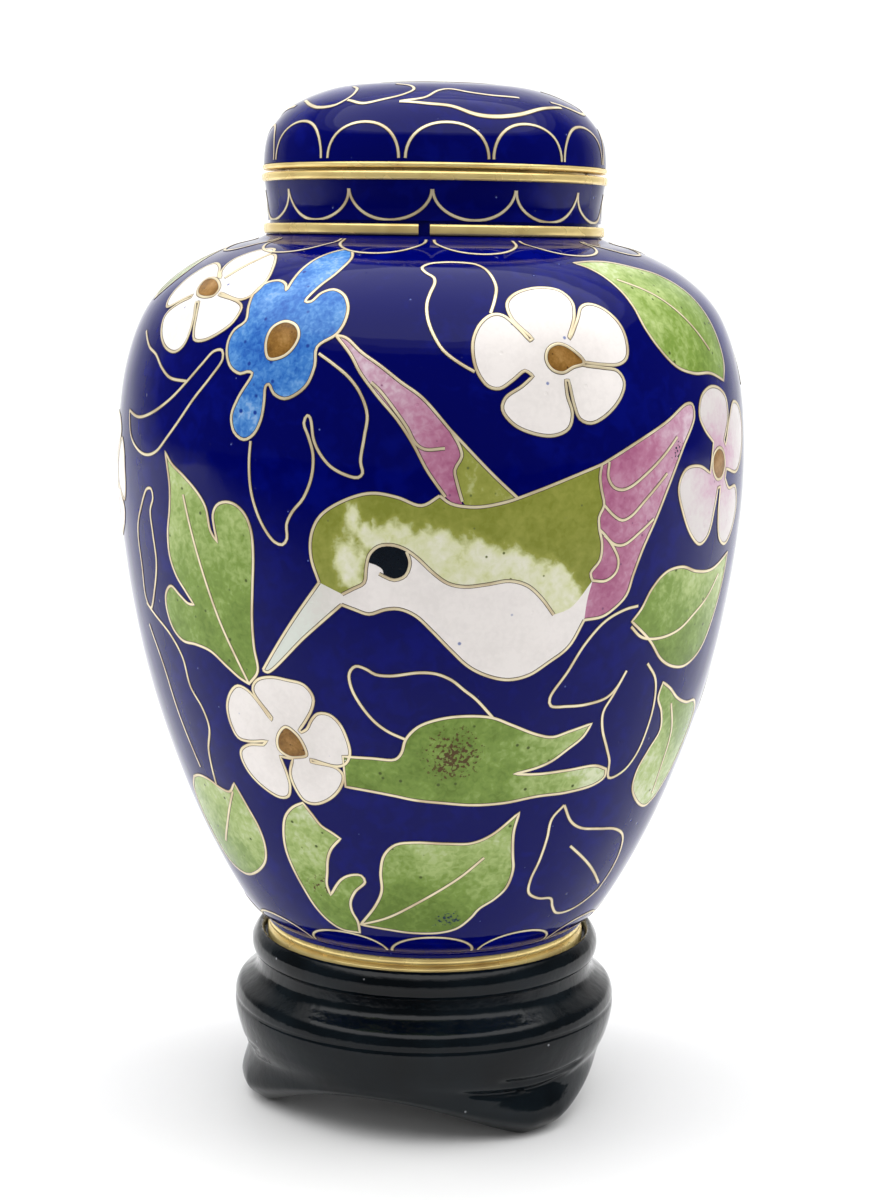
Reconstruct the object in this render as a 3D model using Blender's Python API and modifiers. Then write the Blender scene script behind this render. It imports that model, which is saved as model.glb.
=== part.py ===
"""A keepsake urn: an enamelled ginger-jar vase with a domed lid, on a black three-footed stand.

Sizes are in millimetres, and every point is multiplied by MM as it is made, so the objects are in
metres. The urn stands on z = 0 with its axis on Z, and its front faces -Y. An angle round the urn
is counted in degrees from the front, positive towards +X.
"""
import math

import bpy
from mathutils import Vector

MM = 0.001
GAP = 0.3

# How finely the turned pieces are cut
URN_SIDES = 42
STAND_SIDES = 48

# Vase: key stations (radius, height) down its outer side, and its walls
NECK_RADIUS = 17.0
NECK_TOP = 94.9
BAND_SEAT_RADIUS = 16.65
WALL = 1.6
NECK_BORE = 15.6
SHOULDER_BORE_HEIGHT = 88.6
BODY_FOOT_RADIUS = 16.75
BODY_FOOT_HEIGHT = 19.5
BODY_KEYS = (
    (17.5, 89.75),
    (20.5, 88.95),
    (25.2, 86.6),
    (28.75, 83.0),
    (31.1, 77.0),
    (32.0, 67.4),
    (31.3, 57.6),
    (28.85, 44.9),
    (24.4, 32.0),
    (20.45, 24.0),
    (18.6, 21.2),
    (BODY_FOOT_RADIUS, BODY_FOOT_HEIGHT),
)
POINTS_PER_SPAN = 2

# Brass strips: mouth rim, neck band and foot rim
MOUTH_RIM_RADIUS = 17.45
MOUTH_RIM_LOW = NECK_TOP + GAP
MOUTH_RIM_HIGH = 96.05
BAND_RADIUS = 17.4
BAND_LOW = 90.05
BAND_HIGH = 91.1
BAND_SPLIT_WIDTH = 1.1
BAND_SPLIT_ANGLE = -3.0
FOOT_RIM_RADIUS = 16.6
FOOT_RIM_BORE = 15.0
FOOT_RIM_LOW = 16.9
FOOT_RIM_HIGH = BODY_FOOT_HEIGHT - GAP
STRIP_EASE = 0.12

# Lid: brass rim with a locating collar, and the enamelled dome on it
LID_RIM_RADIUS = 17.4
LID_RIM_LOW = MOUTH_RIM_HIGH + GAP
LID_RIM_HIGH = 96.9
COLLAR_RADIUS = 15.2
COLLAR_BORE = 14.4
COLLAR_LOW = 92.4
LID_WALL = 1.3
LID_KEYS = (
    (5.0, 105.02),
    (10.1, 104.5),
    (13.4, 103.3),
    (15.2, 102.1),
    (16.9, 99.7),
    (17.3, LID_RIM_HIGH + GAP),
)
TOP_HEIGHT = 105.15

# Stand: a recessed seat inside a rolled lip, a cove, a full belly and a waist over the feet
SEAT_HEIGHT = FOOT_RIM_LOW - GAP
SEAT_RADIUS = 16.95
LIP_KEYS = (
    (SEAT_RADIUS, 17.45),
    (17.45, 18.0),
    (18.25, 16.9),
    (18.1, 15.5),
    (17.5, 15.0),
)
BELLY_KEYS = (
    (17.75, 14.4),
    (18.2, 12.9),
    (19.6, 11.3),
    (20.06, 9.4),
    (19.2, 6.3),
    (18.5, 4.6),
    (18.4, 1.6),
    (17.0, 0.0),
)
HOLLOW_RADIUS = 14.9
HOLLOW_HEIGHT = 5.9

# Feet: three pads cut out of the stand's foot ring, with a low arch between each two
FOOT_ANGLES = (42.0, 162.0, -78.0)
ARCH_HEIGHT = 4.65
ARCH_HALF_WIDTH = 55.0
ARCH_ROUNDNESS = 1.4
ARCH_WAIST = 7.4
EDGE_HEIGHT = 1.6
EDGE_SHARE = 0.5
PAD_BULGE = 0.85
PAD_MIDDLE = 2.2
PAD_HALF_HEIGHT = 2.8
PAD_FALLOFF = 3


def clear_scene():
    """Remove every object of the open file."""
    for existing in list(bpy.data.objects):
        bpy.data.objects.remove(existing, do_unlink=True)


def make_collection(name):
    """Add a collection to the scene."""
    collection = bpy.data.collections.new(name)
    bpy.context.scene.collection.children.link(collection)
    return collection


def make_material(name, colour, roughness, metallic=0.0, coat=0.0):
    """A Principled material in one plain colour."""
    material = bpy.data.materials.new(name)
    material.use_nodes = True
    shader = material.node_tree.nodes["Principled BSDF"]
    shader.inputs["Base Color"].default_value = (*colour, 1.0)
    shader.inputs["Roughness"].default_value = roughness
    shader.inputs["Metallic"].default_value = metallic
    shader.inputs["Coat Weight"].default_value = coat
    return material


def smooth_through(keys, steps):
    """Points of a centripetal Catmull-Rom curve through the keys, so many for each span."""
    knots = [Vector(key) for key in keys]
    knots.insert(0, 2 * knots[0] - knots[1])
    knots.append(2 * knots[-1] - knots[-2])
    points = []
    for a, b, c, d in zip(knots, knots[1:], knots[2:], knots[3:]):
        tb = (b - a).length ** 0.5
        tc = tb + (c - b).length ** 0.5
        td = tc + (d - c).length ** 0.5
        for step in range(steps):
            t = tb + (tc - tb) * step / steps
            ab = a.lerp(b, t / tb)
            bc = b.lerp(c, (t - tb) / (tc - tb))
            cd = c.lerp(d, (t - tc) / (td - tc))
            abc = ab.lerp(bc, t / tc)
            bcd = bc.lerp(cd, (t - tb) / (td - tb))
            points.append(tuple(abc.lerp(bcd, (t - tb) / (tc - tb))))
    points.append(tuple(keys[-1]))
    return points


def offset_inwards(points, distance):
    """The same curve moved towards the axis, square to itself; the points run down the outside."""
    moved = []
    for index, point in enumerate(points):
        before = Vector(points[max(index - 1, 0)])
        after = Vector(points[min(index + 1, len(points) - 1)])
        along = (after - before).normalized()
        inwards = Vector((along.y, -along.x))
        moved.append(tuple(Vector(point) + inwards * distance))
    return moved


def strip_section(radius, bore, low, high):
    """A brass strip's section: a rectangle with its two outer corners eased, from the top down."""
    return [
        (bore, high),
        (radius - STRIP_EASE, high),
        (radius, high - STRIP_EASE),
        (radius, low + STRIP_EASE),
        (radius - STRIP_EASE, low),
        (bore, low),
    ]


def turn_profile(name, profile, sides, material, collection, closed=False):
    """Turn a profile of (radius, height) points round Z with a Screw modifier."""
    mesh = bpy.data.meshes.new(name)
    edges = [(index, index + 1) for index in range(len(profile) - 1)]
    if closed:
        edges.append((len(profile) - 1, 0))
    mesh.from_pydata([(radius * MM, 0.0, height * MM) for radius, height in profile], edges, [])
    turned = bpy.data.objects.new(name, mesh)
    collection.objects.link(turned)
    screw = turned.modifiers.new("Turn", "SCREW")
    screw.axis = "Z"
    screw.angle = math.tau
    screw.steps = sides
    screw.render_steps = sides
    screw.use_merge_vertices = True
    screw.merge_threshold = 0.00001
    screw.use_smooth_shade = True
    mesh.materials.append(material)
    return turned


def as_plain_mesh(source):
    """Replace an object by a copy of its evaluated mesh, which its modifiers have already welded."""
    graph = bpy.context.evaluated_depsgraph_get()
    mesh = bpy.data.meshes.new_from_object(source.evaluated_get(graph))
    name = source.name
    collection = source.users_collection[0]
    bpy.data.objects.remove(source, do_unlink=True)
    mesh.name = name
    plain = bpy.data.objects.new(name, mesh)
    collection.objects.link(plain)
    return plain


def vase_body_profile():
    """The hollow vase's section, from the floor's middle up the inside and down the outside."""
    outside = smooth_through(BODY_KEYS, POINTS_PER_SPAN)
    floor = BODY_FOOT_HEIGHT + WALL
    inside = [
        (radius, height)
        for radius, height in offset_inwards(smooth_through(BODY_KEYS, 1), WALL)
        if floor + WALL < height < SHOULDER_BORE_HEIGHT - WALL
    ]
    floor_corner = (BODY_FOOT_RADIUS - WALL * 0.4, floor)
    neck_inside = [(NECK_BORE, SHOULDER_BORE_HEIGHT), (NECK_BORE, NECK_TOP)]
    neck_outside = [
        (NECK_RADIUS + 0.2, NECK_TOP),
        (NECK_RADIUS - 0.15, 92.6),
        (NECK_RADIUS - 0.1, BAND_HIGH + GAP),
        (BAND_SEAT_RADIUS, BAND_HIGH + GAP),
        (BAND_SEAT_RADIUS, BAND_LOW - GAP),
    ]
    bottom = [(0.0, BODY_FOOT_HEIGHT)]
    return [(0.0, floor), floor_corner] + inside[::-1] + neck_inside + neck_outside + outside + bottom


def lid_profile():
    """The hollow dome's section, from under its crown down the inside and up to its top."""
    outside = smooth_through(LID_KEYS, POINTS_PER_SPAN)
    inside = offset_inwards(smooth_through(LID_KEYS, 1), LID_WALL)
    inside[-1] = (LID_KEYS[-1][0] - LID_WALL, LID_KEYS[-1][1])
    return [(0.0, TOP_HEIGHT)] + outside + inside[::-1] + [(0.0, TOP_HEIGHT - LID_WALL)]


def lid_rim_profile():
    """The lid rim's section: a flange that shows, and a collar that drops inside the mouth."""
    flange = strip_section(LID_RIM_RADIUS, COLLAR_BORE, LID_RIM_LOW, LID_RIM_HIGH)[:-1]
    collar = [
        (COLLAR_RADIUS, LID_RIM_LOW),
        (COLLAR_RADIUS, COLLAR_LOW + STRIP_EASE),
        (COLLAR_RADIUS - STRIP_EASE, COLLAR_LOW),
        (COLLAR_BORE, COLLAR_LOW),
    ]
    return flange + collar


def stand_profile():
    """The stand's section as turned, before its feet are cut."""
    seat = [(0.0, SEAT_HEIGHT), (SEAT_RADIUS, SEAT_HEIGHT)]
    lip = smooth_through(LIP_KEYS, POINTS_PER_SPAN)
    belly = smooth_through(BELLY_KEYS, POINTS_PER_SPAN)
    hollow = [
        (HOLLOW_RADIUS + 0.5, 0.0),
        (HOLLOW_RADIUS, 0.5),
        (HOLLOW_RADIUS, HOLLOW_HEIGHT),
        (0.0, HOLLOW_HEIGHT),
    ]
    return seat + lip + belly + hollow


def arch_share(angle):
    """How far the arch between the feet is open at an angle: 0 on a foot, 1 midway between two."""
    half_pitch = 180.0 / len(FOOT_ANGLES)
    nearest_foot = min(abs((angle - foot + 180.0) % 360.0 - 180.0) for foot in FOOT_ANGLES)
    from_middle = (half_pitch - nearest_foot) / ARCH_HALF_WIDTH
    return max(0.0, 1.0 - from_middle * from_middle) ** ARCH_ROUNDNESS


def belly_radius(height):
    """The belly's radius at a height, along straight runs between its keys."""
    for (upper, top), (lower, bottom) in zip(BELLY_KEYS, BELLY_KEYS[1:]):
        if height >= bottom:
            return lower + (upper - lower) * (height - bottom) / (top - bottom)
    return BELLY_KEYS[-1][0]


def cut_feet(stand):
    """Lift the foot ring into an arch between the feet, and swell it into a pad at each foot.

    Over an arch the belly runs on down to the arch's edge, which keeps part of the ring's rounding.
    """
    for vertex in stand.data.vertices:
        x, y, z = vertex.co / MM
        radius = math.hypot(x, y)
        outside = radius > HOLLOW_RADIUS + 2.0
        if radius < HOLLOW_RADIUS - 0.1 or z >= (ARCH_WAIST if outside else HOLLOW_HEIGHT - 0.1):
            continue
        share = arch_share(math.degrees(math.atan2(x, -y)))
        lifted = ARCH_WAIST - (ARCH_WAIST - z) * (1.0 - share * ARCH_HEIGHT / ARCH_WAIST)
        moved = radius
        if outside:
            rounding = EDGE_SHARE * (belly_radius(EDGE_HEIGHT) - belly_radius(min(z, EDGE_HEIGHT)))
            over_arch = belly_radius(lifted) - rounding
            across = (z - PAD_MIDDLE) / PAD_HALF_HEIGHT
            swell = PAD_BULGE * max(0.0, 1.0 - across * across) * (1.0 - share) ** PAD_FALLOFF
            moved += share * (over_arch - radius) + swell
        vertex.co = (x * moved / radius * MM, y * moved / radius * MM, lifted * MM)


def split_band(band, cutters):
    """Cut the gap between the two ends of the neck band's strip."""
    bpy.ops.mesh.primitive_cube_add(size=1.0)
    cutter = bpy.context.active_object
    cutter.name = "band_split_cutter"
    for holder in list(cutter.users_collection):
        holder.objects.unlink(cutter)
    cutters.objects.link(cutter)
    turn = math.radians(BAND_SPLIT_ANGLE)
    middle = (BAND_LOW + BAND_HIGH) / 2.0
    reach = 4.0
    cutter.scale = (BAND_SPLIT_WIDTH * MM, reach * MM, reach * MM)
    cutter.rotation_euler = (0.0, 0.0, turn)
    cutter.location = (
        BAND_RADIUS * math.sin(turn) * MM,
        -BAND_RADIUS * math.cos(turn) * MM,
        middle * MM,
    )
    cutter.hide_render = True
    cutter.display_type = "WIRE"
    cut = band.modifiers.new("Split", "BOOLEAN")
    cut.operation = "DIFFERENCE"
    cut.solver = "EXACT"
    cut.object = cutter


def main():
    """Make the urn's seven pieces."""
    clear_scene()
    urn = make_collection("funeral_urn")
    cutters = make_collection("cutters")
    enamel = make_material("cobalt_enamel", (0.012, 0.012, 0.24), 0.12, coat=0.6)
    brass = make_material("gilt_brass", (0.83, 0.62, 0.26), 0.28, metallic=1.0)
    lacquer = make_material("black_lacquer", (0.012, 0.013, 0.016), 0.15, coat=0.8)

    turn_profile("vase_body", vase_body_profile(), URN_SIDES, enamel, urn)
    turn_profile("lid", lid_profile(), URN_SIDES, enamel, urn)
    turn_profile("lid_rim", lid_rim_profile(), URN_SIDES, brass, urn, closed=True)
    mouth_rim = strip_section(MOUTH_RIM_RADIUS, NECK_BORE, MOUTH_RIM_LOW, MOUTH_RIM_HIGH)
    turn_profile("mouth_rim", mouth_rim, URN_SIDES, brass, urn, closed=True)
    foot_rim = strip_section(FOOT_RIM_RADIUS, FOOT_RIM_BORE, FOOT_RIM_LOW, FOOT_RIM_HIGH)
    turn_profile("foot_rim", foot_rim, URN_SIDES, brass, urn, closed=True)
    strip = strip_section(BAND_RADIUS, BAND_SEAT_RADIUS + GAP, BAND_LOW, BAND_HIGH)
    band = turn_profile("neck_band", strip, URN_SIDES, brass, urn, closed=True)
    split_band(band, cutters)

    stand = turn_profile("stand", stand_profile(), STAND_SIDES, lacquer, urn)
    stand = as_plain_mesh(stand)
    cut_feet(stand)


main()
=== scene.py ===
"""A keepsake urn in cobalt cloisonne enamel, with brass rims, on a carved black lacquer stand.

Sizes are in millimetres and angles in degrees from the front, positive towards +X. MM turns a size
into metres. Every figure of the enamel is drawn flat about its own place and laid on the turned
surface: gilt wires stand round it, and each closed cell between them is filled with its enamel.
"""

import logging
import math
import random
from dataclasses import dataclass, field, fields
from enum import Enum
from typing import Callable, Sequence

import bmesh
import bpy
import numpy as np
from mathutils import Matrix, Vector


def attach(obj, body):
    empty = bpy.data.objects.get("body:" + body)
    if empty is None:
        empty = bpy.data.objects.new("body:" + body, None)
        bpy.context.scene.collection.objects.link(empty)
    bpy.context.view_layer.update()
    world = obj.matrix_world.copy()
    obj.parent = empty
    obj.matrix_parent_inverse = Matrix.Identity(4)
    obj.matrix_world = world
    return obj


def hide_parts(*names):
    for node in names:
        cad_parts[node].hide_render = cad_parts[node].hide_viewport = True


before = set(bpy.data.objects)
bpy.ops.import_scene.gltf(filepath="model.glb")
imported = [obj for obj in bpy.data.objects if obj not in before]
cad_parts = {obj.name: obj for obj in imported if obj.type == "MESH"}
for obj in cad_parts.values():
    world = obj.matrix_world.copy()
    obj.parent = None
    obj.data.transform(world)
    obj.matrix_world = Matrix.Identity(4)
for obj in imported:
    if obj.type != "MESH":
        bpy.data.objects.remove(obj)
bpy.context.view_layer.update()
LOG = logging.getLogger("urn")

MM = 0.001
BODY = "root"

Point = tuple[float, float]
Place = tuple[float, float, float]
Run = tuple[Point, ...]
Colour = tuple[float, float, float]
Tint = Callable[[np.ndarray, np.ndarray], np.ndarray]


def srgb(red: int, green: int, blue: int) -> Colour:
    """Turn a colour as a screen shows it into the light that the finishes mix.

    Args:
        red: 0 to 255.
        green: 0 to 255.
        blue: 0 to 255.

    Returns:
        The linear colour.
    """
    def linear(value: int) -> float:
        """One channel's light."""
        share = value / 255.0
        return share / 12.92 if share <= 0.04045 else ((share + 0.055) / 1.055) ** 2.4
    return linear(red), linear(green), linear(blue)


# Finishes


class Slot(Enum):
    """The finishes that the part's record names."""

    COBALT = "cobalt_enamel"
    BRASS = "gilt_brass"
    WHITE = "white_enamel"
    GREEN = "green_enamel"
    PINK = "pink_enamel"
    SKY = "sky_enamel"
    BROWN = "brown_enamel"
    LACQUER = "black_lacquer"


class NodeBoard:
    """A new material's nodes, with short calls for those that the finishes share."""

    dot_core = 0.55

    def __init__(self, name: str, **values: float) -> None:
        """Start a material.

        Args:
            name: the material's name.
            values: the shader's plain values, with _ for a space in a socket's name.
        """
        self.material = bpy.data.materials.new(name)
        self.material.use_nodes = True
        self.tree = self.material.node_tree
        self.shader = self.tree.nodes["Principled BSDF"]
        for socket, value in values.items():
            self.shader.inputs[socket.replace("_", " ")].default_value = value
        self.place = self.add("ShaderNodeTexCoord").outputs["Object"]

    def add(self, kind: str, **settings: object) -> bpy.types.Node:
        """Add a node with its settings.

        Args:
            kind: the node's type name.
            settings: the node's properties.

        Returns:
            The new node.
        """
        node = self.tree.nodes.new(kind)
        for setting, value in settings.items():
            setattr(node, setting, value)
        return node

    def feed(self, socket: bpy.types.NodeSocket, value: object) -> None:
        """Link a socket to another one, or set its plain value.

        Args:
            socket: the input.
            value: an output socket, a number or a colour.
        """
        if isinstance(value, bpy.types.NodeSocket):
            self.tree.links.new(value, socket)
        elif isinstance(value, tuple):
            socket.default_value = (*value, 1.0)
        else:
            socket.default_value = value

    def noise(self, grain: float, detail: float = 3.0, warp: float = 0.0) -> bpy.types.NodeSocket:
        """Soft noise over the object's own coordinates.

        Args:
            grain: the size of its patches in millimetres.
            detail: how many finer layers it has.
            warp: how far it is stirred.

        Returns:
            Its value, about 0.5 in the middle.
        """
        node = self.add("ShaderNodeTexNoise")
        self.feed(node.inputs["Vector"], self.place)
        self.feed(node.inputs["Scale"], 1.0 / (grain * MM))
        self.feed(node.inputs["Detail"], detail)
        self.feed(node.inputs["Distortion"], warp)
        return node.outputs["Fac"]

    def dots(self, spacing: float, size: float) -> bpy.types.NodeSocket:
        """Small round dots strewn over the object.

        Args:
            spacing: about how far apart they are in millimetres.
            size: a dot's share of the spacing.

        Returns:
            1 in a dot, 0 off it.
        """
        node = self.add("ShaderNodeTexVoronoi")
        self.feed(node.inputs["Vector"], self.place)
        self.feed(node.inputs["Scale"], 1.0 / (spacing * MM))
        return self.span(node.outputs["Distance"], size, size * self.dot_core)

    def attribute(self, name: str) -> bpy.types.NodeSocket:
        """A value painted on the mesh's vertices."""
        return self.add("ShaderNodeAttribute", attribute_name=name).outputs["Fac"]

    def sum(self, kind: str, first: object, second: object) -> bpy.types.NodeSocket:
        """Work out one number from two.

        Args:
            kind: a Math node's operation.
            first: a number or a socket.
            second: a number or a socket.

        Returns:
            The result's socket.
        """
        node = self.add("ShaderNodeMath", operation=kind)
        self.feed(node.inputs[0], first)
        self.feed(node.inputs[1], second)
        return node.outputs[0]

    def span(self, value: object, low: float, high: float,
             out: Point = (0.0, 1.0)) -> bpy.types.NodeSocket:
        """Spread a value from low to high over another range, held at its ends.

        Args:
            value: the number's socket.
            low: where the range starts.
            high: where it ends.
            out: what the two ends become.

        Returns:
            The new number's socket.
        """
        node = self.add("ShaderNodeMapRange")
        for socket, number in zip(node.inputs[:5], (value, low, high, *out)):
            self.feed(socket, number)
        return node.outputs[0]

    def ramp(self, value: object, shades: Sequence[Colour]) -> bpy.types.NodeSocket:
        """Shades spread evenly over a value from 0 to 1.

        Args:
            value: the number's socket.
            shades: the colours in order.

        Returns:
            The colour's socket.
        """
        node = self.add("ShaderNodeValToRGB")
        stops = node.color_ramp.elements
        while len(stops) < len(shades):
            stops.new(0.5)
        for index, shade in enumerate(shades):
            stops[index].position = index / (len(shades) - 1)
            stops[index].color = (*shade, 1.0)
        self.feed(node.inputs[0], value)
        return node.outputs[0]

    def blend(self, share: object, first: object, second: object) -> bpy.types.NodeSocket:
        """Mix two colours.

        Args:
            share: how much of the second shows.
            first: a colour or its socket.
            second: a colour or its socket.

        Returns:
            The mixed colour's socket.
        """
        node = self.add("ShaderNodeMix", data_type="RGBA")
        # A Mix node keeps its colour sockets after those for numbers and vectors
        self.feed(node.inputs[0], share)
        self.feed(node.inputs[6], first)
        self.feed(node.inputs[7], second)
        return node.outputs[2]

    def relief(self, height: object, depth: float) -> None:
        """Roughen the surface.

        Args:
            height: the relief's socket, 0 to 1.
            depth: how deep it is in millimetres.
        """
        node = self.add("ShaderNodeBump")
        self.feed(node.inputs["Distance"], depth * MM)
        self.feed(node.inputs["Height"], height)
        self.feed(self.shader.inputs["Normal"], node.outputs[0])


@dataclass(frozen=True)
class EnamelFinish:
    """Fired and polished enamel: shades that drift into each other, with specks, stains and pits."""

    name: str
    slot: Slot
    shades: tuple[Colour, ...]
    drift: float = 0.25
    grain: float = 0.9
    fine: float = 0.55
    broad: float = 2.6
    speck: Colour = srgb(90, 60, 35)
    specks: float = 0.13
    speck_spacing: float = 1.6
    warm_stain: Colour = srgb(78, 58, 28)
    cool_stain: Colour = srgb(22, 44, 62)
    stain_grain: float = 0.34
    stain_spread: float = 0.29
    pits: float = 0.09
    pit_spacing: float = 2.3
    ripple: float = 4.5
    ripple_share: float = 2.2
    depth: float = 0.02
    gloss: float = 0.1
    shine: float = 0.2

    def make(self) -> bpy.types.Material:
        """Make the material.

        Returns:
            The new material.
        """
        board = NodeBoard(self.name, Roughness=self.gloss, Specular_IOR_Level=self.shine)
        board.feed(board.shader.inputs["Base Color"], self.stained(board, self.mottled(board)))
        pits = board.dots(self.pit_spacing, self.pits)
        ripple = board.sum("MULTIPLY", board.noise(self.ripple, 2.0), self.ripple_share)
        board.relief(board.sum("SUBTRACT", ripple, pits), self.depth)
        return board.material

    def mottled(self, board: NodeBoard) -> bpy.types.NodeSocket:
        """Drift the shades about the cell's own tint, and strew specks over them.

        Args:
            board: the material's nodes.

        Returns:
            The colour's socket.
        """
        fine = board.sum("MULTIPLY", board.noise(self.grain * self.fine, 2.6, 0.5), 0.5)
        broad = board.sum("MULTIPLY", board.noise(self.grain * self.broad, 2.0, 0.3), 0.5)
        shift = board.span(board.sum("ADD", fine, broad), 0.36, 0.64, (-self.drift, self.drift))
        colour = board.ramp(board.sum("ADD", board.attribute("tint"), shift), self.shades)
        return board.blend(board.dots(self.speck_spacing, self.specks), colour, self.speck)

    def stained(self, board: NodeBoard, colour: bpy.types.NodeSocket) -> bpy.types.NodeSocket:
        """Crowd dark grains over the places that the cell is stained in.

        Args:
            board: the material's nodes.
            colour: the clean enamel's socket.

        Returns:
            The colour's socket.
        """
        stain = board.attribute("stain")
        depth = board.sum("ABSOLUTE", stain, 0.0)
        grains = board.noise(self.stain_grain, 2.0)
        thick = board.sum("ADD", grains, board.sum("MULTIPLY", depth, self.stain_spread))
        cover = board.sum("MULTIPLY", board.span(thick, 0.66, 0.74), board.span(depth, 0.0, 0.25))
        kind = board.blend(board.span(stain, -0.01, 0.01), self.cool_stain, self.warm_stain)
        return board.blend(cover, colour, kind)


@dataclass(frozen=True)
class MetalFinish:
    """Gilt brass, plain or worn, with fine lines along the strip where it was drawn."""

    name: str
    light: Colour
    dark: Colour
    metal: float
    rough: float
    tarnish: float = 0.5
    drawn: bool = True
    # The colour of a painted shade line along a wire's foot, where it meets the enamel
    edge: Colour | None = None
    slot: Slot = Slot.BRASS
    worn_patch: float = 3.2
    dull_patch: float = 2.4
    dulling: float = 0.12
    dent: float = 1.4
    line_pitch: float = 0.3125
    line_stretch: float = 0.02
    depth: float = 0.001

    def make(self) -> bpy.types.Material:
        """Make the material.

        Returns:
            The new material.
        """
        board = NodeBoard(self.name, Metallic=self.metal)
        worn = board.span(board.noise(self.worn_patch, 1.0, 0.4), 0.45, 0.75, (0.0, self.tarnish))
        colour = board.blend(worn, self.light, self.dark)
        # Painted shade: the wire's marked skirt darkens where it meets the enamel
        if self.edge:
            colour = board.blend(board.span(board.attribute("edge"), 0.12, 0.55), colour, self.edge)
        board.feed(board.shader.inputs["Base Color"], colour)
        dull = board.span(board.noise(self.dull_patch, 1.0), 0.3, 0.7,
                          (self.rough, self.rough + self.dulling))
        board.feed(board.shader.inputs["Roughness"], dull)
        height = board.sum("MULTIPLY", board.noise(self.dent, 1.0), 0.5)
        if self.drawn:
            height = board.sum("ADD", height, self.drawn_lines(board))
        board.relief(height, self.depth)
        return board.material

    def drawn_lines(self, board: NodeBoard) -> bpy.types.NodeSocket:
        """Fine lines that run round the urn.

        Args:
            board: the material's nodes.

        Returns:
            Their height's socket.
        """
        stretch = board.add("ShaderNodeMapping")
        board.feed(stretch.inputs["Vector"], board.place)
        stretch.inputs["Scale"].default_value = (self.line_stretch, self.line_stretch, 1.0)
        lines = board.add("ShaderNodeTexNoise")
        board.feed(lines.inputs["Vector"], stretch.outputs[0])
        board.feed(lines.inputs["Scale"], 1.0 / (self.line_pitch * MM))
        board.feed(lines.inputs["Detail"], 0.0)
        return lines.outputs["Fac"]


@dataclass(frozen=True)
class LacquerFinish:
    """Black lacquer over wood: deep gloss, brushed unevenly, with specks of dust strewn over it."""

    name: str = "black_lacquer_finish"
    slot: Slot = Slot.LACQUER
    shades: tuple[Colour, ...] = (srgb(2, 5, 8), srgb(9, 17, 22))
    cloud: float = 7.0
    dust: Colour = srgb(120, 122, 126)
    dust_size: float = 0.05
    dust_spacing: float = 3.1
    gloss: Point = (0.07, 0.17)
    shine: float = 0.22
    brush: float = 2.6
    pore: float = 0.3
    pore_share: float = 0.1
    depth: float = 0.09

    def make(self) -> bpy.types.Material:
        """Make the material.

        Returns:
            The new material.
        """
        board = NodeBoard(self.name, Specular_IOR_Level=self.shine)
        cloud = board.noise(self.cloud, 4.0, 0.4)
        shade = board.ramp(board.span(cloud, 0.35, 0.65), self.shades)
        dusty = board.blend(board.dots(self.dust_spacing, self.dust_size), shade, self.dust)
        board.feed(board.shader.inputs["Base Color"], dusty)
        board.feed(board.shader.inputs["Roughness"], board.span(cloud, 0.3, 0.7, self.gloss))
        pores = board.sum("MULTIPLY", board.noise(self.pore, 3.0), self.pore_share)
        board.relief(board.sum("ADD", board.noise(self.brush, 3.0), pores), self.depth)
        return board.material


class Enamel(Enum):
    """The enamels of the figures and the ground."""

    COBALT = EnamelFinish(
        "cobalt_ground", Slot.COBALT, (srgb(0, 3, 84), srgb(2, 10, 108), srgb(6, 24, 136)),
        drift=0.3, grain=3.0, speck=srgb(84, 98, 160), specks=0.045, speck_spacing=2.3, gloss=0.05,
        shine=0.13)
    WHITE = EnamelFinish(
        "white_cells", Slot.WHITE,
        (srgb(232, 226, 222), srgb(222, 216, 212), srgb(210, 207, 200), srgb(212, 217, 208)),
        drift=0.14, specks=0.07, speck_spacing=2.9, speck=srgb(120, 130, 170), gloss=0.12)
    # Its whites are a darker copy of the white enamel, painted shade for the flower's place on the side;
    # its pink towards the heart is its own colour
    SHADED_BLUSH = EnamelFinish(
        "blush_and_painted_shade_white_cells", Slot.WHITE,
        (srgb(206, 200, 198), srgb(200, 186, 190), srgb(194, 162, 178), srgb(180, 134, 160)),
        drift=0.2, specks=0.07, speck_spacing=2.9, speck=srgb(150, 120, 140), gloss=0.12)
    LEAF = EnamelFinish(
        "leaf_green_cells", Slot.GREEN,
        (srgb(92, 116, 42), srgb(118, 144, 64), srgb(162, 180, 112), srgb(206, 212, 178)),
        drift=0.2, grain=1.1, speck=srgb(70, 84, 36))
    OLIVE = EnamelFinish(
        "olive_green_cells", Slot.GREEN,
        (srgb(124, 130, 52), srgb(146, 150, 72), srgb(206, 208, 160), srgb(224, 222, 204)),
        drift=0.16, grain=1.1, speck=srgb(100, 108, 58), specks=0.1)
    PINK = EnamelFinish(
        "pink_cells", Slot.PINK,
        (srgb(156, 88, 122), srgb(174, 114, 142), srgb(188, 146, 166), srgb(208, 188, 198)),
        drift=0.24, grain=1.1, speck=srgb(130, 80, 112), specks=0.1)
    SKY = EnamelFinish(
        "sky_blue_cells", Slot.SKY,
        (srgb(34, 84, 166), srgb(56, 112, 183), srgb(88, 140, 198), srgb(150, 178, 212)),
        drift=0.32, grain=0.8, speck=srgb(30, 60, 140), specks=0.16)
    BROWN = EnamelFinish(
        "brown_cells", Slot.BROWN,
        (srgb(104, 72, 32), srgb(136, 98, 46), srgb(162, 124, 72)),
        drift=0.3, grain=0.5, speck=srgb(76, 48, 22), specks=0.14, speck_spacing=0.8)
    EYE = EnamelFinish(
        "eye_cells", Slot.LACQUER, (srgb(6, 12, 20), srgb(12, 22, 32)), drift=0.2,
        speck=srgb(60, 70, 80), specks=0.08, gloss=0.06)


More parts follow.
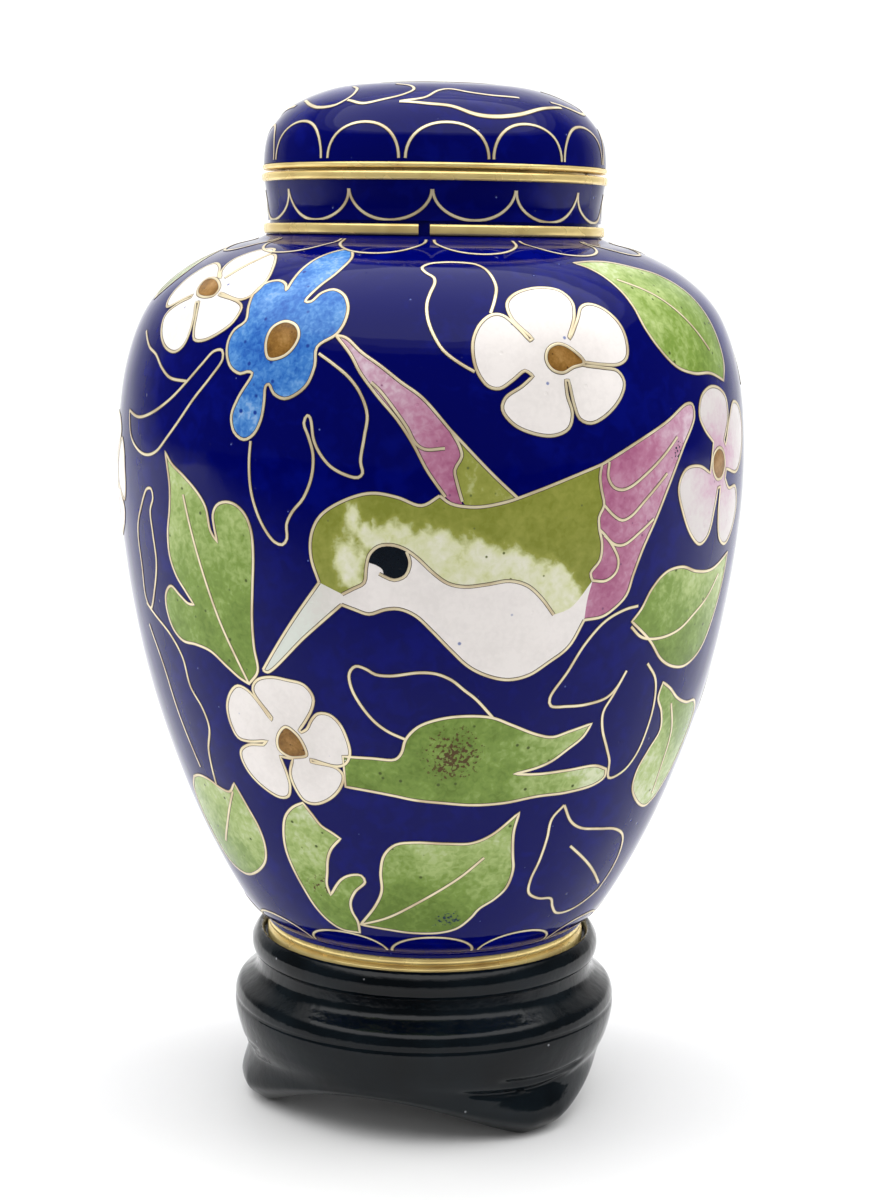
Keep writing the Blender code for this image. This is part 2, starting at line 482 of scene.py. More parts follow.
# The wire's edge colour is painted shade along each wire's foot
WIRE_GILT = MetalFinish("gilt_wire", srgb(231, 218, 184), srgb(172, 145, 107), metal=0.4, rough=0.3,
                        tarnish=0.6, drawn=False, edge=srgb(58, 40, 26))
RIM_GILT = MetalFinish("gilt_strip", srgb(252, 226, 150), srgb(186, 146, 78), metal=0.5, rough=0.18,
                       tarnish=0.4)


# Drawing


def smooth(keys: Sequence[Point], closed: bool = False, step: float = 0.45) -> list[Point]:
    """Points of a centripetal curve through the keys.

    Args:
        keys: the points that it passes through.
        closed: whether it runs on from its last key to its first.
        step: about how far apart its points are.

    Returns:
        The points, the last key among them where it is open.
    """
    # A closed curve's knots run on past its ends, and an open one's are mirrored there
    knots = [Vector(key) for key in keys]
    if closed:
        knots = [knots[-1]] + knots + knots[:2]
    else:
        knots = [2 * knots[0] - knots[1]] + knots + [2 * knots[-1] - knots[-2]]
    points: list[Point] = []
    for a, b, c, d in zip(knots, knots[1:], knots[2:], knots[3:]):
        tb = (b - a).length ** 0.5
        tc = tb + (c - b).length ** 0.5
        td = tc + (d - c).length ** 0.5
        steps = max(2, math.ceil((c - b).length / step))
        for index in range(steps):
            t = tb + (tc - tb) * index / steps
            ab = a.lerp(b, t / tb)
            bc = b.lerp(c, (t - tb) / (tc - tb))
            cd = c.lerp(d, (t - tc) / (td - tc))
            abc = ab.lerp(bc, t / tc)
            bcd = bc.lerp(cd, (t - tb) / (td - tb))
            points.append(tuple(abc.lerp(bcd, (t - tb) / (tc - tb))))
    if not closed:
        points.append(tuple(keys[-1]))
    return points


def chain(*runs: Run) -> list[Point]:
    """Join smooth runs into one closed outline.

    Args:
        runs: the runs, each of which starts where the one before ends.

    Returns:
        The outline's points.
    """
    outline: list[Point] = []
    for run in runs:
        outline += smooth(run)[:-1]
    return outline


def flat_tint(value: float) -> Tint:
    """The same tint all over a cell."""
    return lambda u, v: np.full(u.shape, value)


def slope_tint(start: Point, end: Point, low: float, high: float) -> Tint:
    """A tint that drifts along a line across a cell.

    Args:
        start: where it is low.
        end: where it is high.
        low: the tint at the start and before it.
        high: the tint at the end and past it.

    Returns:
        The tint's function.
    """
    along = (end[0] - start[0], end[1] - start[1])
    length = along[0] ** 2 + along[1] ** 2
    return lambda u, v: low + (high - low) * np.clip(
        ((u - start[0]) * along[0] + (v - start[1]) * along[1]) / length, 0.0, 1.0)


def spot_tint(middle: Point, radius: float, inner: float, outer: float) -> Tint:
    """A tint that drifts outwards from a spot.

    Args:
        middle: the spot.
        radius: how far it reaches.
        inner: the tint on the spot.
        outer: the tint past its reach.

    Returns:
        The tint's function.
    """
    return lambda u, v: inner + (outer - inner) * np.clip(
        np.hypot(u - middle[0], v - middle[1]) / radius, 0.0, 1.0)


class Skin:
    """The outside of a turned piece, which the figures are laid on."""

    def __init__(self, outline: Sequence[Point]) -> None:
        """Read the outline.

        Args:
            outline: (radius, height) points, upwards or downwards.
        """
        table = np.array(sorted(outline, key=lambda point: point[1]))
        self.radius, self.height = table[:, 0], table[:, 1]
        along = np.gradient(table, axis=0)
        along /= np.linalg.norm(along, axis=1)[:, None]
        self.out, self.up = along[:, 1], -along[:, 0]
        steps = np.hypot(np.diff(self.radius), np.diff(self.height))
        middles = np.maximum((self.radius[1:] + self.radius[:-1]) / 2.0, 0.5)
        self.reach = np.concatenate(([0.0], np.cumsum(steps / middles)))

    def read(self, by: np.ndarray, value: np.ndarray) -> tuple[np.ndarray, ...]:
        """The radius, height, and outward and upward share of the normal.

        Args:
            by: the skin's own column that the value is looked up in.
            value: where to read.

        Returns:
            The four arrays.
        """
        columns = (self.radius, self.height, self.out, self.up)
        return tuple(np.interp(value, by, column) for column in columns)

    def normals(self, places: np.ndarray) -> np.ndarray:
        """The normals at places on this skin.

        Args:
            places: the places in metres.

        Returns:
            A normal for each place.
        """
        _, _, out, up = self.read(self.height, places[:, 2] / MM)
        flat = places[:, :2] / np.maximum(np.hypot(places[:, 0], places[:, 1]), 1e-9)[:, None]
        return np.column_stack((flat * out[:, None], up))


@dataclass(frozen=True)
class Chart:
    """A flat drawing in millimetres laid on a skin about one place, with its angles kept."""

    skin: Skin
    angle: float
    height: float

    def scale(self) -> tuple[float, float]:
        """The radius at the drawing's middle, and how far up the skin that is."""
        radius = np.interp(self.height, self.skin.height, self.skin.radius)
        return float(radius), float(np.interp(self.height, self.skin.height, self.skin.reach))

    def swell(self, flat: np.ndarray) -> np.ndarray:
        """How much larger the drawing comes out away from its middle.

        Args:
            flat: points of the drawing in millimetres.

        Returns:
            The enlargement at each point.
        """
        radius, reach = self.scale()
        there = self.skin.read(self.skin.reach, reach + flat[:, 1] / radius)[0]
        return there / radius

    def lay(self, flat: np.ndarray) -> np.ndarray:
        """Lay flat points (right, up, out) on the skin.

        Args:
            flat: the points in millimetres.

        Returns:
            Their places in metres.
        """
        middle, reach = self.scale()
        turn = math.radians(self.angle) + flat[:, 0] / middle
        radius, height, out, up = self.skin.read(self.skin.reach, reach + flat[:, 1] / middle)
        proud = flat[:, 2] * radius / middle
        radius = radius + proud * out
        return MM * np.column_stack(
            (radius * np.sin(turn), -radius * np.cos(turn), height + proud * up))


@dataclass(frozen=True)
class TopChart(Chart):
    """A flat drawing laid straight down on a dome, with its middle on the axis."""

    def swell(self, flat: np.ndarray) -> np.ndarray:
        """The drawing keeps its size."""
        return np.ones(len(flat))

    def lay(self, flat: np.ndarray) -> np.ndarray:
        """Lay flat points (right, back, out) on the dome.

        Args:
            flat: the points in millimetres.

        Returns:
            Their places in metres.
        """
        turn = Matrix.Rotation(math.radians(self.angle), 2)
        place = flat[:, :2] @ np.array(turn).T
        radius = np.hypot(place[:, 0], place[:, 1])
        by = self.skin.radius[::-1]
        height, out, up = (np.interp(radius, by, column[::-1]) for column in
                           (self.skin.height, self.skin.out, self.skin.up))
        stretch = 1.0 + flat[:, 2] * out / np.maximum(radius, 1e-6)
        return MM * np.column_stack((place * stretch[:, None], height + flat[:, 2] * up))


# Making meshes


def new_piece(name: str, mesh: bmesh.types.BMesh, finish: bpy.types.Material,
              replaces: Sequence[str] = (), sharp: float = 35.0) -> bpy.types.Object:
    """Turn a bmesh into a finished piece that rides on the urn.

    Args:
        name: the piece's name.
        mesh: the bmesh, which is freed.
        finish: its material.
        replaces: the solids that it stands for.
        sharp: the angle in degrees past which an edge stays crisp.

    Returns:
        The new object.
    """
    data = bpy.data.meshes.new(name)
    mesh.to_mesh(data)
    mesh.free()
    data.shade_smooth()
    data.set_sharp_from_angle(angle=math.radians(sharp))
    data.materials.append(finish)
    piece = bpy.data.objects.new(name, data)
    bpy.context.scene.collection.objects.link(piece)
    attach(piece, BODY)
    if replaces:
        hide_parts(*replaces)
    LOG.info("%s: %d faces", name, len(data.polygons))
    return piece


def turned(profile: Sequence[Point], steps: int, closed: bool = False) -> bmesh.types.BMesh:
    """Spin a profile of (radius, height) points once round the axis.

    Args:
        profile: the section.
        steps: how many facets go round.
        closed: whether the section is a loop, clear of the axis.

    Returns:
        The closed shape, its faces pointing out.
    """
    mesh = bmesh.new()
    corners = [mesh.verts.new((0.0, -radius * MM, height * MM)) for radius, height in profile]
    edges = [mesh.edges.new(pair) for pair in zip(corners, corners[1:])]
    if closed:
        edges.append(mesh.edges.new((corners[-1], corners[0])))
    bmesh.ops.spin(mesh, geom=corners + edges, cent=(0.0, 0.0, 0.0), axis=(0.0, 0.0, 1.0),
                   angle=math.tau, steps=steps, use_merge=True)
    bmesh.ops.remove_doubles(mesh, verts=mesh.verts[:], dist=1e-7)
    bmesh.ops.recalc_face_normals(mesh, faces=mesh.faces[:])
    return mesh


def inset_line(points: Sequence[Point], distance: float) -> list[Point]:
    """Move a line towards the axis, square to itself.

    Args:
        points: the line's points, down the outside.
        distance: how far it moves.

    Returns:
        The moved points.
    """
    moved = []
    for index, point in enumerate(points):
        before = Vector(points[max(index - 1, 0)])
        after = Vector(points[min(index + 1, len(points) - 1)])
        along = (after - before).normalized()
        moved.append(tuple(Vector(point) + Vector((along.y, -along.x)) * distance))
    return moved


@dataclass
class Inlay:
    """The wires and enamel cells of the urn, gathered into pieces by group and enamel."""

    wire_radius: float = 0.185
    wire_proud: float = 0.055
    wire_skirt: float = 0.032
    crest_from: float = 0.4
    skirt_from: float = -0.2
    cell_proud: float = 0.028
    cell_depth: float = 0.12
    heart_lift: float = 0.012
    grid: Point = (1.2, 0.8)
    grid_offset: float = 0.013
    groups: dict[tuple[str, Enamel | None], tuple[bmesh.types.BMesh, Skin]] = field(default_factory=dict)

    def gather(self, group: str, enamel: Enamel | None, chart: Chart) -> bmesh.types.BMesh:
        """Find or start the bmesh of a group's cells in one enamel, or of its wires.

        Args:
            group: the group's name.
            enamel: the enamel, or None for wires.
            chart: where they lie.

        Returns:
            The bmesh.
        """
        key = (group, enamel)
        if key not in self.groups:
            self.groups[key] = (bmesh.new(), chart.skin)
        return self.groups[key][0]

    def add_laid(self, group: str, enamel: Enamel | None, chart: Chart,
                 flat: bmesh.types.BMesh) -> None:
        """Lay a flat bmesh on its skin and add it to its group.

        Args:
            group: the group's name.
            enamel: the enamel, or None for wires.
            chart: where it lies.
            flat: the flat shape in millimetres, which is freed.
        """
        bmesh.ops.recalc_face_normals(flat, faces=flat.faces[:])
        places = chart.lay(np.array([vert.co[:] for vert in flat.verts]))
        for vert, place in zip(flat.verts, places):
            vert.co = place
        loose = bpy.data.meshes.new("laid")
        flat.to_mesh(loose)
        flat.free()
        self.gather(group, enamel, chart).from_mesh(loose)
        bpy.data.meshes.remove(loose)

    def wires(self, group: str, chart: Chart, lines: Sequence[tuple[Sequence[Point], bool]]) -> None:
        """Lay gilt wires along lines.

        Args:
            group: the group's name.
            chart: where they lie.
            lines: each line's points and whether it is closed.
        """
        curve = bpy.data.curves.new("wires", "CURVE")
        curve.dimensions = "3D"
        curve.twist_mode = "Z_UP"
        curve.bevel_depth = self.wire_radius
        curve.bevel_resolution = 1
        curve.use_fill_caps = True
        for points, closed in lines:
            spline = curve.splines.new("POLY")
            spline.points.add(len(points) - 1)
            spline.use_cyclic_u = closed
            swell = chart.swell(np.array([(*point, 0.0) for point in points]))
            for knot, point, size in zip(spline.points, points, swell):
                knot.co = (*point, 0.0, 1.0)
                knot.radius = 1.0 / size
        holder = bpy.data.objects.new("wires", curve)
        bpy.context.scene.collection.objects.link(holder)
        graph = bpy.context.evaluated_depsgraph_get()
        tubes = bpy.data.meshes.new_from_object(holder.evaluated_get(graph))
        flat = bmesh.new()
        flat.from_mesh(tubes)
        bpy.data.objects.remove(holder)
        bpy.data.curves.remove(curve)
        bpy.data.meshes.remove(tubes)
        bmesh.ops.remove_doubles(flat, verts=flat.verts[:], dist=1e-4)
        self.press(flat)
        self.add_laid(group, None, chart, flat)

    def press(self, tubes: bmesh.types.BMesh) -> None:
        """Flatten round wires down to the enamel, and mark their skirts for a painted dark line of shade
        along each wire's foot.

        Args:
            tubes: the wires, lying flat.
        """
        edge = tubes.verts.layers.float.new("edge")
        for vert in tubes.verts:
            rise = vert.co.z / self.wire_radius
            # The skirt is marked for the painted shade line at the wire's foot
            vert[edge] = 0.0 if rise > self.crest_from else 1.0
            if rise > self.crest_from:
                vert.co.z = self.wire_proud
            elif rise > self.skirt_from:
                vert.co.z = self.wire_skirt

    def cell(self, group: str, chart: Chart, outline: Sequence[Point], enamel: Enamel,
             tint: Tint, stain: Tint | None = None, lift: float = 0.0, fineness: float = 1.0) -> None:
        """Fill a closed outline with enamel.

        Args:
            group: the group's name.
            chart: where it lies.
            outline: the cell's outline.
            enamel: what fills it.
            tint: the enamel's shade over the cell.
            stain: how deeply it is stained, where it is: warm above 0, cool below.
            lift: how far it stands over a cell that it lies in.
            fineness: how many times finer than the usual grid it is cut.
        """
        flat = bmesh.new()
        corners = [flat.verts.new((*point, self.cell_proud + lift)) for point in outline]
        edges = [flat.edges.new(pair) for pair in zip(corners, corners[1:] + corners[:1])]
        bmesh.ops.triangle_fill(flat, use_beauty=True, edges=edges, normal=(0.0, 0.0, 1.0))
        for axis, square in enumerate((Vector((1.0, 0.0, 0.0)), Vector((0.0, 1.0, 0.0)))):
            pitch = self.grid[axis] / fineness
            values = [point[axis] for point in outline]
            for line in range(math.ceil(min(values) / pitch), math.floor(max(values) / pitch) + 1):
                bmesh.ops.bisect_plane(flat, geom=flat.verts[:] + flat.edges[:] + flat.faces[:],
                                       plane_co=square * (line * pitch + self.grid_offset),
                                       plane_no=square)
        bmesh.ops.triangulate(flat, faces=flat.faces[:])
        under = bmesh.ops.extrude_face_region(flat, geom=flat.faces[:])["geom"]
        sunk = [item for item in under if isinstance(item, bmesh.types.BMVert)]
        bmesh.ops.translate(flat, verts=sunk, vec=(0.0, 0.0, -self.cell_depth))
        places = np.array([vert.co[:] for vert in flat.verts])
        for name, value in (("tint", tint), ("stain", stain or flat_tint(0.0))):
            layer = flat.verts.layers.float.new(name)
            for vert, number in zip(flat.verts, value(places[:, 0], places[:, 1])):
                vert[layer] = float(number)
        self.add_laid(group, enamel, chart, flat)

    def outlined(self, group: str, chart: Chart, outline: Sequence[Point], enamel: Enamel,
                 tint: Tint, stain: Tint | None = None) -> None:
        """Fill a closed outline with enamel and stand a wire round it."""
        self.cell(group, chart, outline, enamel, tint, stain)
        self.wires(group, chart, [(outline, True)])

    def build(self) -> None:
        """Turn each group into its finished piece."""
        gilt = WIRE_GILT.make()
        glazes = {enamel: enamel.value.make() for enamel in Enamel if enamel is not Enamel.COBALT}
        for (group, enamel), (mesh, skin) in self.groups.items():
            if enamel is None:
                new_piece(f"{group}_wires", mesh, gilt, sharp=40.0)
                continue
            name = f"{group}_{enamel.name.lower()}"
            piece = new_piece(name, mesh, glazes[enamel], sharp=180.0)
            places = np.empty(len(piece.data.vertices) * 3)
            piece.data.vertices.foreach_get("co", places)
            normals = skin.normals(places.reshape(-1, 3))
            piece.data.normals_split_custom_set_from_vertices(normals.tolist())


# The vase, its lid and its rims


@dataclass
class Vase:
    """The hollow enamelled vase, spun in one piece from its floor to its mouth."""

    wall: float = 1.6
    neck_bore: float = 15.6
    neck_top: float = 95.2
    band_seat: Run = ((16.65, 91.4), (16.65, 90.02))
    shoulder_bore: float = 88.6
    foot: float = 19.2
    foot_radius: float = 16.75
    floor_rise: float = 0.3
    floor_inset: float = 0.64
    body: Run = ((16.95, 90.02), (18.0, 89.5), (20.5, 88.8), (25.1, 86.5), (28.75, 83.0), (31.1, 77.0),
                 (32.0, 67.4), (31.3, 57.6), (28.85, 44.9), (24.4, 32.0), (20.45, 24.0),
                 (18.6, 21.2), (16.75, 19.5))
    neck: Run = ((17.2, 95.2), (16.85, 92.6), (16.9, 91.4))
    steps: int = 256

    def body_skin(self) -> Skin:
        """The body's outside."""
        return Skin(smooth(self.body, step=0.4))

    def neck_skin(self) -> Skin:
        """The neck's outside."""
        return Skin(smooth(self.neck, step=0.4))

    def section(self) -> list[Point]:
        """The section, from the floor's middle up the inside and down the outside.

        Returns:
            Its (radius, height) points.
        """
        floor = self.foot + self.floor_rise + self.wall
        inside = [point for point in inset_line(smooth(self.body, step=2.0), self.wall)
                  if floor + self.wall < point[1] < self.shoulder_bore - self.wall]
        lining = [(0.0, floor), (self.foot_radius - self.floor_inset, floor)] + inside[::-1]
        bore = [(self.neck_bore, self.shoulder_bore), (self.neck_bore, self.neck_top)]
        under = [(self.foot_radius, self.foot), (0.0, self.foot)]
        outside = smooth(self.body, step=0.5)
        return lining + bore + smooth(self.neck, step=0.5) + [*self.band_seat] + outside + under

    def build(self) -> None:
        """Make the vase in cobalt enamel."""
        mesh = turned(self.section(), self.steps)
        new_piece("vase", mesh, Enamel.COBALT.value.make(), ["vase_body"])


@dataclass
class Lid:
    """The hollow enamelled dome."""

    wall: float = 1.3
    top: float = 105.15
    low: float = 96.9
    crown: Point = (2.5, 105.12)
    dome: Run = ((5.0, 105.02), (10.1, 104.5), (13.4, 103.3), (15.2, 102.1), (16.9, 99.7),
                 (17.3, 97.2), (17.3, 96.9))
    steps: int = 224

    def skin(self) -> Skin:
        """The dome's outside, its crown included."""
        return Skin([(0.0, self.top)] + smooth(self.dome, step=0.4))

    def build(self) -> None:
        """Make the lid in cobalt enamel."""
        outside = [(0.0, self.top), self.crown] + smooth(self.dome, step=0.4)
        inside = inset_line(smooth(self.dome[:-1], step=1.5), self.wall)
        inside[-1] = (self.dome[-1][0] - self.wall, self.low)
        section = outside + inside[::-1] + [(0.0, self.top - self.wall)]
        new_piece("lid_dome", turned(section, self.steps),
                  Enamel.COBALT.value.make(), ["lid"])


@dataclass(frozen=True)
class Band:
    """The four sides of a brass strip's section."""

    radius: float
    bore: float
    low: float
    high: float


@dataclass
class Rims:
    """The brass strips: mouth rim, lid rim with its collar, split neck band and foot rim."""

    ease: float = 0.27
    ease_steps: int = 4
    split_width: float = 1.1
    split_angle: float = -3.0
    split_reach: float = 2.0
    steps: int = 224
    mouth: Band = Band(17.45, 15.6, 95.2, 96.05)
    foot: Band = Band(16.6, 15.0, 16.9, 19.2)
    neck: Band = Band(17.25, 16.75, 90.05, 91.1)
    flange: Band = Band(17.4, 14.4, 96.35, 96.9)
    collar_radius: float = 15.2
    collar_low: float = 92.4
    bead: Point = (0.42, 0.5)
    bead_groove: Run = ((-0.38, -1.08), (-0.1, -1.16), (0.06, -1.3))

    def strip(self, band: Band) -> list[Point]:
        """A strip's section with its outer corners rounded, from the top down.

        Args:
            band: the strip's sides.

        Returns:
            The section's corners.
        """
        ease = self.ease
        turns = [math.radians(90.0 * step / self.ease_steps) for step in range(self.ease_steps + 1)]
        upper = [(band.radius - ease + ease * math.sin(turn), band.high - ease + ease * math.cos(turn))
                 for turn in turns]
        lower = [(radius, band.low + band.high - height) for radius, height in reversed(upper)]
        return [(band.bore, band.high)] + upper + lower + [(band.bore, band.low)]

    def foot_section(self) -> list[Point]:
        """The foot rim's section: a bead over a groove, and a flange that goes down into the stand.

        Returns:
            The section's corners.
        """
        foot, (out, up) = self.foot, self.bead
        turns = [math.radians(angle) for angle in range(90, -91, -20)]
        bead = [(foot.radius - out + out * math.cos(turn), foot.high - up + up * math.sin(turn))
                for turn in turns]
        groove = [(foot.radius + across, foot.high + rise) for across, rise in self.bead_groove]
        return [(foot.bore, foot.high)] + bead + groove + [(groove[-1][0], foot.low), (foot.bore, foot.low)]

    def split(self, mesh: bmesh.types.BMesh) -> None:
        """Cut the gap between the two ends of the neck band, and close both ends.

        Args:
            mesh: the band, still a whole ring.
        """
        turn = Matrix.Rotation(math.radians(self.split_angle), 3, "Z")
        across = turn @ Vector((1.0, 0.0, 0.0))
        height = (self.neck.low + self.neck.high) / 2.0
        middle = turn @ Vector((0.0, -self.neck.radius * MM, height * MM))
        half = self.split_width / 2.0 * MM
        for side in (-1.0, 1.0):
            bmesh.ops.bisect_plane(mesh, geom=mesh.verts[:] + mesh.edges[:] + mesh.faces[:],
                                   plane_co=middle + across * (side * half), plane_no=across)
        between = []
        for face in mesh.faces:
            away = face.calc_center_median() - middle
            if away.length < self.split_reach * MM and abs(away.dot(across)) < half:
                between.append(face)
        bmesh.ops.delete(mesh, geom=between, context="FACES")
        bmesh.ops.holes_fill(mesh, edges=[edge for edge in mesh.edges if edge.is_boundary])

    def build(self) -> None:
        """Make the four strips in gilt brass."""
        gilt = RIM_GILT.make()
        collar = [(self.collar_radius, self.flange.low),
                  (self.collar_radius, self.collar_low + self.ease),
                  (self.collar_radius - self.ease, self.collar_low),
                  (self.flange.bore, self.collar_low)]
        sections = {"lid_rim": self.strip(self.flange)[:-1] + collar, "mouth_rim": self.strip(self.mouth),
                    "foot_rim": self.foot_section(), "neck_band": self.strip(self.neck)}
        for node, section in sections.items():
            mesh = turned(section, self.steps, closed=True)
            if node == "neck_band":
                self.split(mesh)
            new_piece(f"{node}_strip", mesh, gilt, [node], sharp=50.0)


@dataclass
class Stand:
    """The black stand: a seat in a rolled lip, a cove, a full belly and three carved feet."""

    seat_height: float = 16.6
    lip: Run = ((16.95, 17.45), (17.45, 18.0), (18.25, 16.9), (18.1, 15.5), (17.5, 15.0))
    belly: Run = ((17.6, 14.4), (17.7, 13.85), (18.0, 13.35), (18.9, 12.66), (19.7, 12.05),
                  (20.0, 11.3), (20.08, 10.4), (20.02, 9.3), (19.2, 6.3),
                  (18.5, 4.6), (18.4, 1.6), (17.0, 0.0))
    hollow_radius: float = 14.9
    hollow_height: float = 5.9
    foot_angles: tuple[float, ...] = (42.0, 162.0, -78.0)
    arch_height: float = 4.65
    arch_half_width: float = 55.0
    arch_roundness: float = 1.4
    arch_waist: float = 7.4
    edge_height: float = 1.6
    edge_share: float = 0.5
    pad_bulge: float = 0.85
    pad_middle: float = 2.2
    pad_half_height: float = 2.8
    pad_falloff: float = 3.0
    half_between_feet: float = 60.0
    wall_middle: float = 2.0
    slack: float = 0.1
    grooves: tuple[tuple[float, ...], ...] = ((6.25, -17.0, 15.0, 0.35), (5.15, -29.0, 9.0, 0.5))
    groove_depth: float = 0.3
    groove_width: float = 0.32
    groove_end: float = 1.15
    groove_fade: float = 0.35
    line_height: float = 10.6
    line_depth: float = 0.14
    line_width: float = 0.192
    carved_top: float = 12.5
    hollow_ease: float = 0.5
    hollow_steps: int = 6
    steps: int = 384

    def from_foot(self, angle: float) -> float:
        """How far an angle is from the nearest foot, in degrees, positive past it."""
        turns = [(angle - foot + 180.0) % 360.0 - 180.0 for foot in self.foot_angles]
        return min(turns, key=abs)

    def arch_share(self, angle: float) -> float:
        """How far the arch between the feet is open at an angle, from 0 to 1."""
        from_middle = (self.half_between_feet - abs(self.from_foot(angle))) / self.arch_half_width
        return max(0.0, 1.0 - from_middle * from_middle) ** self.arch_roundness

    def groove(self, angle: float, height: float) -> float:
        """How deep the carving is at a place on the belly.

        Each groove beside a foot has its height, the angles that it starts and ends at, and its sag.

        Args:
            angle: where it is, round the stand.
            height: how high it is.

        Returns:
            The depth in millimetres.
        """
        turn = self.from_foot(angle)
        depth = 0.0
        for rise, start, end, sag in self.grooves:
            across = (turn - (start + end) / 2.0) / ((end - start) / 2.0)
            if abs(across) > self.groove_end:
                continue
            fade = min(1.0, (self.groove_end - abs(across)) / self.groove_fade)
            away = (height - rise - sag * across * across) / self.groove_width
            depth += self.groove_depth * fade * math.exp(-away * away)
        away = (height - self.line_height) / self.line_width
        return depth + self.line_depth * math.exp(-away * away)

    def shape(self, mesh: bmesh.types.BMesh) -> None:
        """Lift the foot ring into arches, swell the feet and carve the grooves.

        Over an arch the belly runs on down to the arch's edge, which keeps part of its rounding.

        Args:
            mesh: the turned stand, whose foot is still a whole ring.
        """
        belly = np.array(smooth(self.belly, step=0.2))[::-1]
        squeeze = self.arch_height / self.arch_waist
        for vertex in mesh.verts:
            x, y, z = vertex.co / MM
            radius = math.hypot(x, y)
            if radius < self.hollow_radius - self.slack:
                continue
            angle = math.degrees(math.atan2(x, -y))
            outside = radius > self.hollow_radius + self.wall_middle
            moved, lifted = radius, z
            if z < (self.arch_waist if outside else self.hollow_height - self.slack):
                share = self.arch_share(angle)
                lifted = self.arch_waist - (self.arch_waist - z) * (1.0 - share * squeeze)
            if outside and z < self.arch_waist:
                over_arch, edge, here = np.interp((lifted, self.edge_height, min(z, self.edge_height)),
                                                  belly[:, 1], belly[:, 0])
                across = (z - self.pad_middle) / self.pad_half_height
                swell = self.pad_bulge * max(0.0, 1.0 - across * across)
                moved += share * (over_arch - self.edge_share * (edge - here) - radius)
                moved += swell * (1.0 - share) ** self.pad_falloff
            if outside and z < self.carved_top:
                moved -= self.groove(angle, lifted)
            vertex.co = (x * moved / radius * MM, y * moved / radius * MM, lifted * MM)

    def build(self) -> None:
        """Make the stand in black lacquer."""
        seat = [(0.0, self.seat_height), (self.lip[0][0], self.seat_height)]
        lip = smooth(self.lip, step=0.25)
        belly = smooth(self.belly, step=0.22)
        ease = self.hollow_ease
        hollow = [(self.hollow_radius + ease, 0.0)]
        hollow += [(self.hollow_radius, ease + (self.hollow_height - ease) * step / self.hollow_steps)
                   for step in range(self.hollow_steps + 1)]
        hollow.append((0.0, self.hollow_height))
        mesh = turned(seat + lip + belly + hollow, self.steps)
        self.shape(mesh)
        lacquer = LacquerFinish()
        new_piece("carved_stand", mesh, lacquer.make(), ["stand"], sharp=60.0)


# The figures


# Along a plain petal and leaf: shares of the length, and of the width that each side has there
PETAL_STATIONS = ((0.0, 0.3), (0.4, 0.42), (0.75, 0.5), (0.95, 0.3))
LEAF_STATIONS = ((0.0, 0.0), (0.16, 0.36), (0.4, 0.52), (0.68, 0.38), (0.88, 0.15), (1.0, 0.0))
RIB_STATIONS = (0.0, 0.3, 0.6, 0.85)
PETAL_TIP = 0.985
PETAL_GAP = 0.92


@dataclass(frozen=True)
class Flower:
    """A flower round a brown heart: one cell, whose wire folds in between the petals."""

    angle: float
    height: float
    petals: tuple[Run, ...]
    heart: Run
    enamel: Enamel = Enamel.WHITE
    group: str = "front_flowers"
    low: float = 0.5
    high: float = 0.05
    reach: float = 5.5
    heart_shade: tuple[float, float, float] = (1.6, 0.9, 0.2)

    def outline(self) -> list[Point]:
        """The petals' runs in turn, each joined to the next one's root.

        Returns:
            The outline's points.
        """
        runs = []
        for petal, following in zip(self.petals, self.petals[1:] + self.petals[:1]):
            runs.append(petal)
            if petal[-1] != following[0]:
                runs.append((petal[-1], following[0]))
        return chain(*runs)

    def lay(self, inlay: Inlay, skin: Skin) -> None:
        """Lay the flower on a skin.

        Args:
            inlay: what takes the wires and cells.
            skin: the outside that they lie on.
        """
        chart = Chart(skin, self.angle, self.height)
        middle = tuple(np.mean(np.array(self.heart), axis=0))
        inlay.outlined(self.group, chart, self.outline(), self.enamel,
                       spot_tint(middle, self.reach, self.low, self.high))
        heart = smooth(self.heart, True, 0.3)
        inlay.cell(self.group, chart, heart, Enamel.BROWN, spot_tint(middle, *self.heart_shade),
                   lift=inlay.heart_lift)
        inlay.wires(self.group, chart, [(heart, True)])


@dataclass(frozen=True)
class Leaf:
    """A green leaf: an outline of smooth runs, a rib, and a tint that pales towards one side."""

    angle: float
    height: float
    runs: tuple[Run, ...]
    rib: Run = ()
    pale: tuple[Point, Point] = ((0.0, -8.0), (0.0, 8.0))
    tints: Point = (0.15, 0.65)
    stain: tuple[Point, float, float] | None = None
    group: str = "front_leaves"

    def lay(self, inlay: Inlay, skin: Skin) -> None:
        """Lay the leaf on a skin.

        Args:
            inlay: what takes the wires and cells.
            skin: the outside that they lie on.
        """
        chart = Chart(skin, self.angle, self.height)
        stain = spot_tint(*self.stain, 0.0) if self.stain else None
        inlay.outlined(self.group, chart, chain(*self.runs), Enamel.LEAF,
                       slope_tint(*self.pale, *self.tints), stain)
        if self.rib:
            inlay.wires(self.group, chart, [(smooth(self.rib), False)])


@dataclass(frozen=True)
class Tendril:
    """A leaf or stalk drawn in bare wire on the blue ground."""

    angle: float
    height: float
    runs: tuple[Run, ...]
    group: str = "outline_leaves"

    def lay(self, inlay: Inlay, skin: Skin) -> None:
        """Lay the wires on a skin."""
        chart = Chart(skin, self.angle, self.height)
        inlay.wires(self.group, chart, [(smooth(run), False) for run in self.runs])


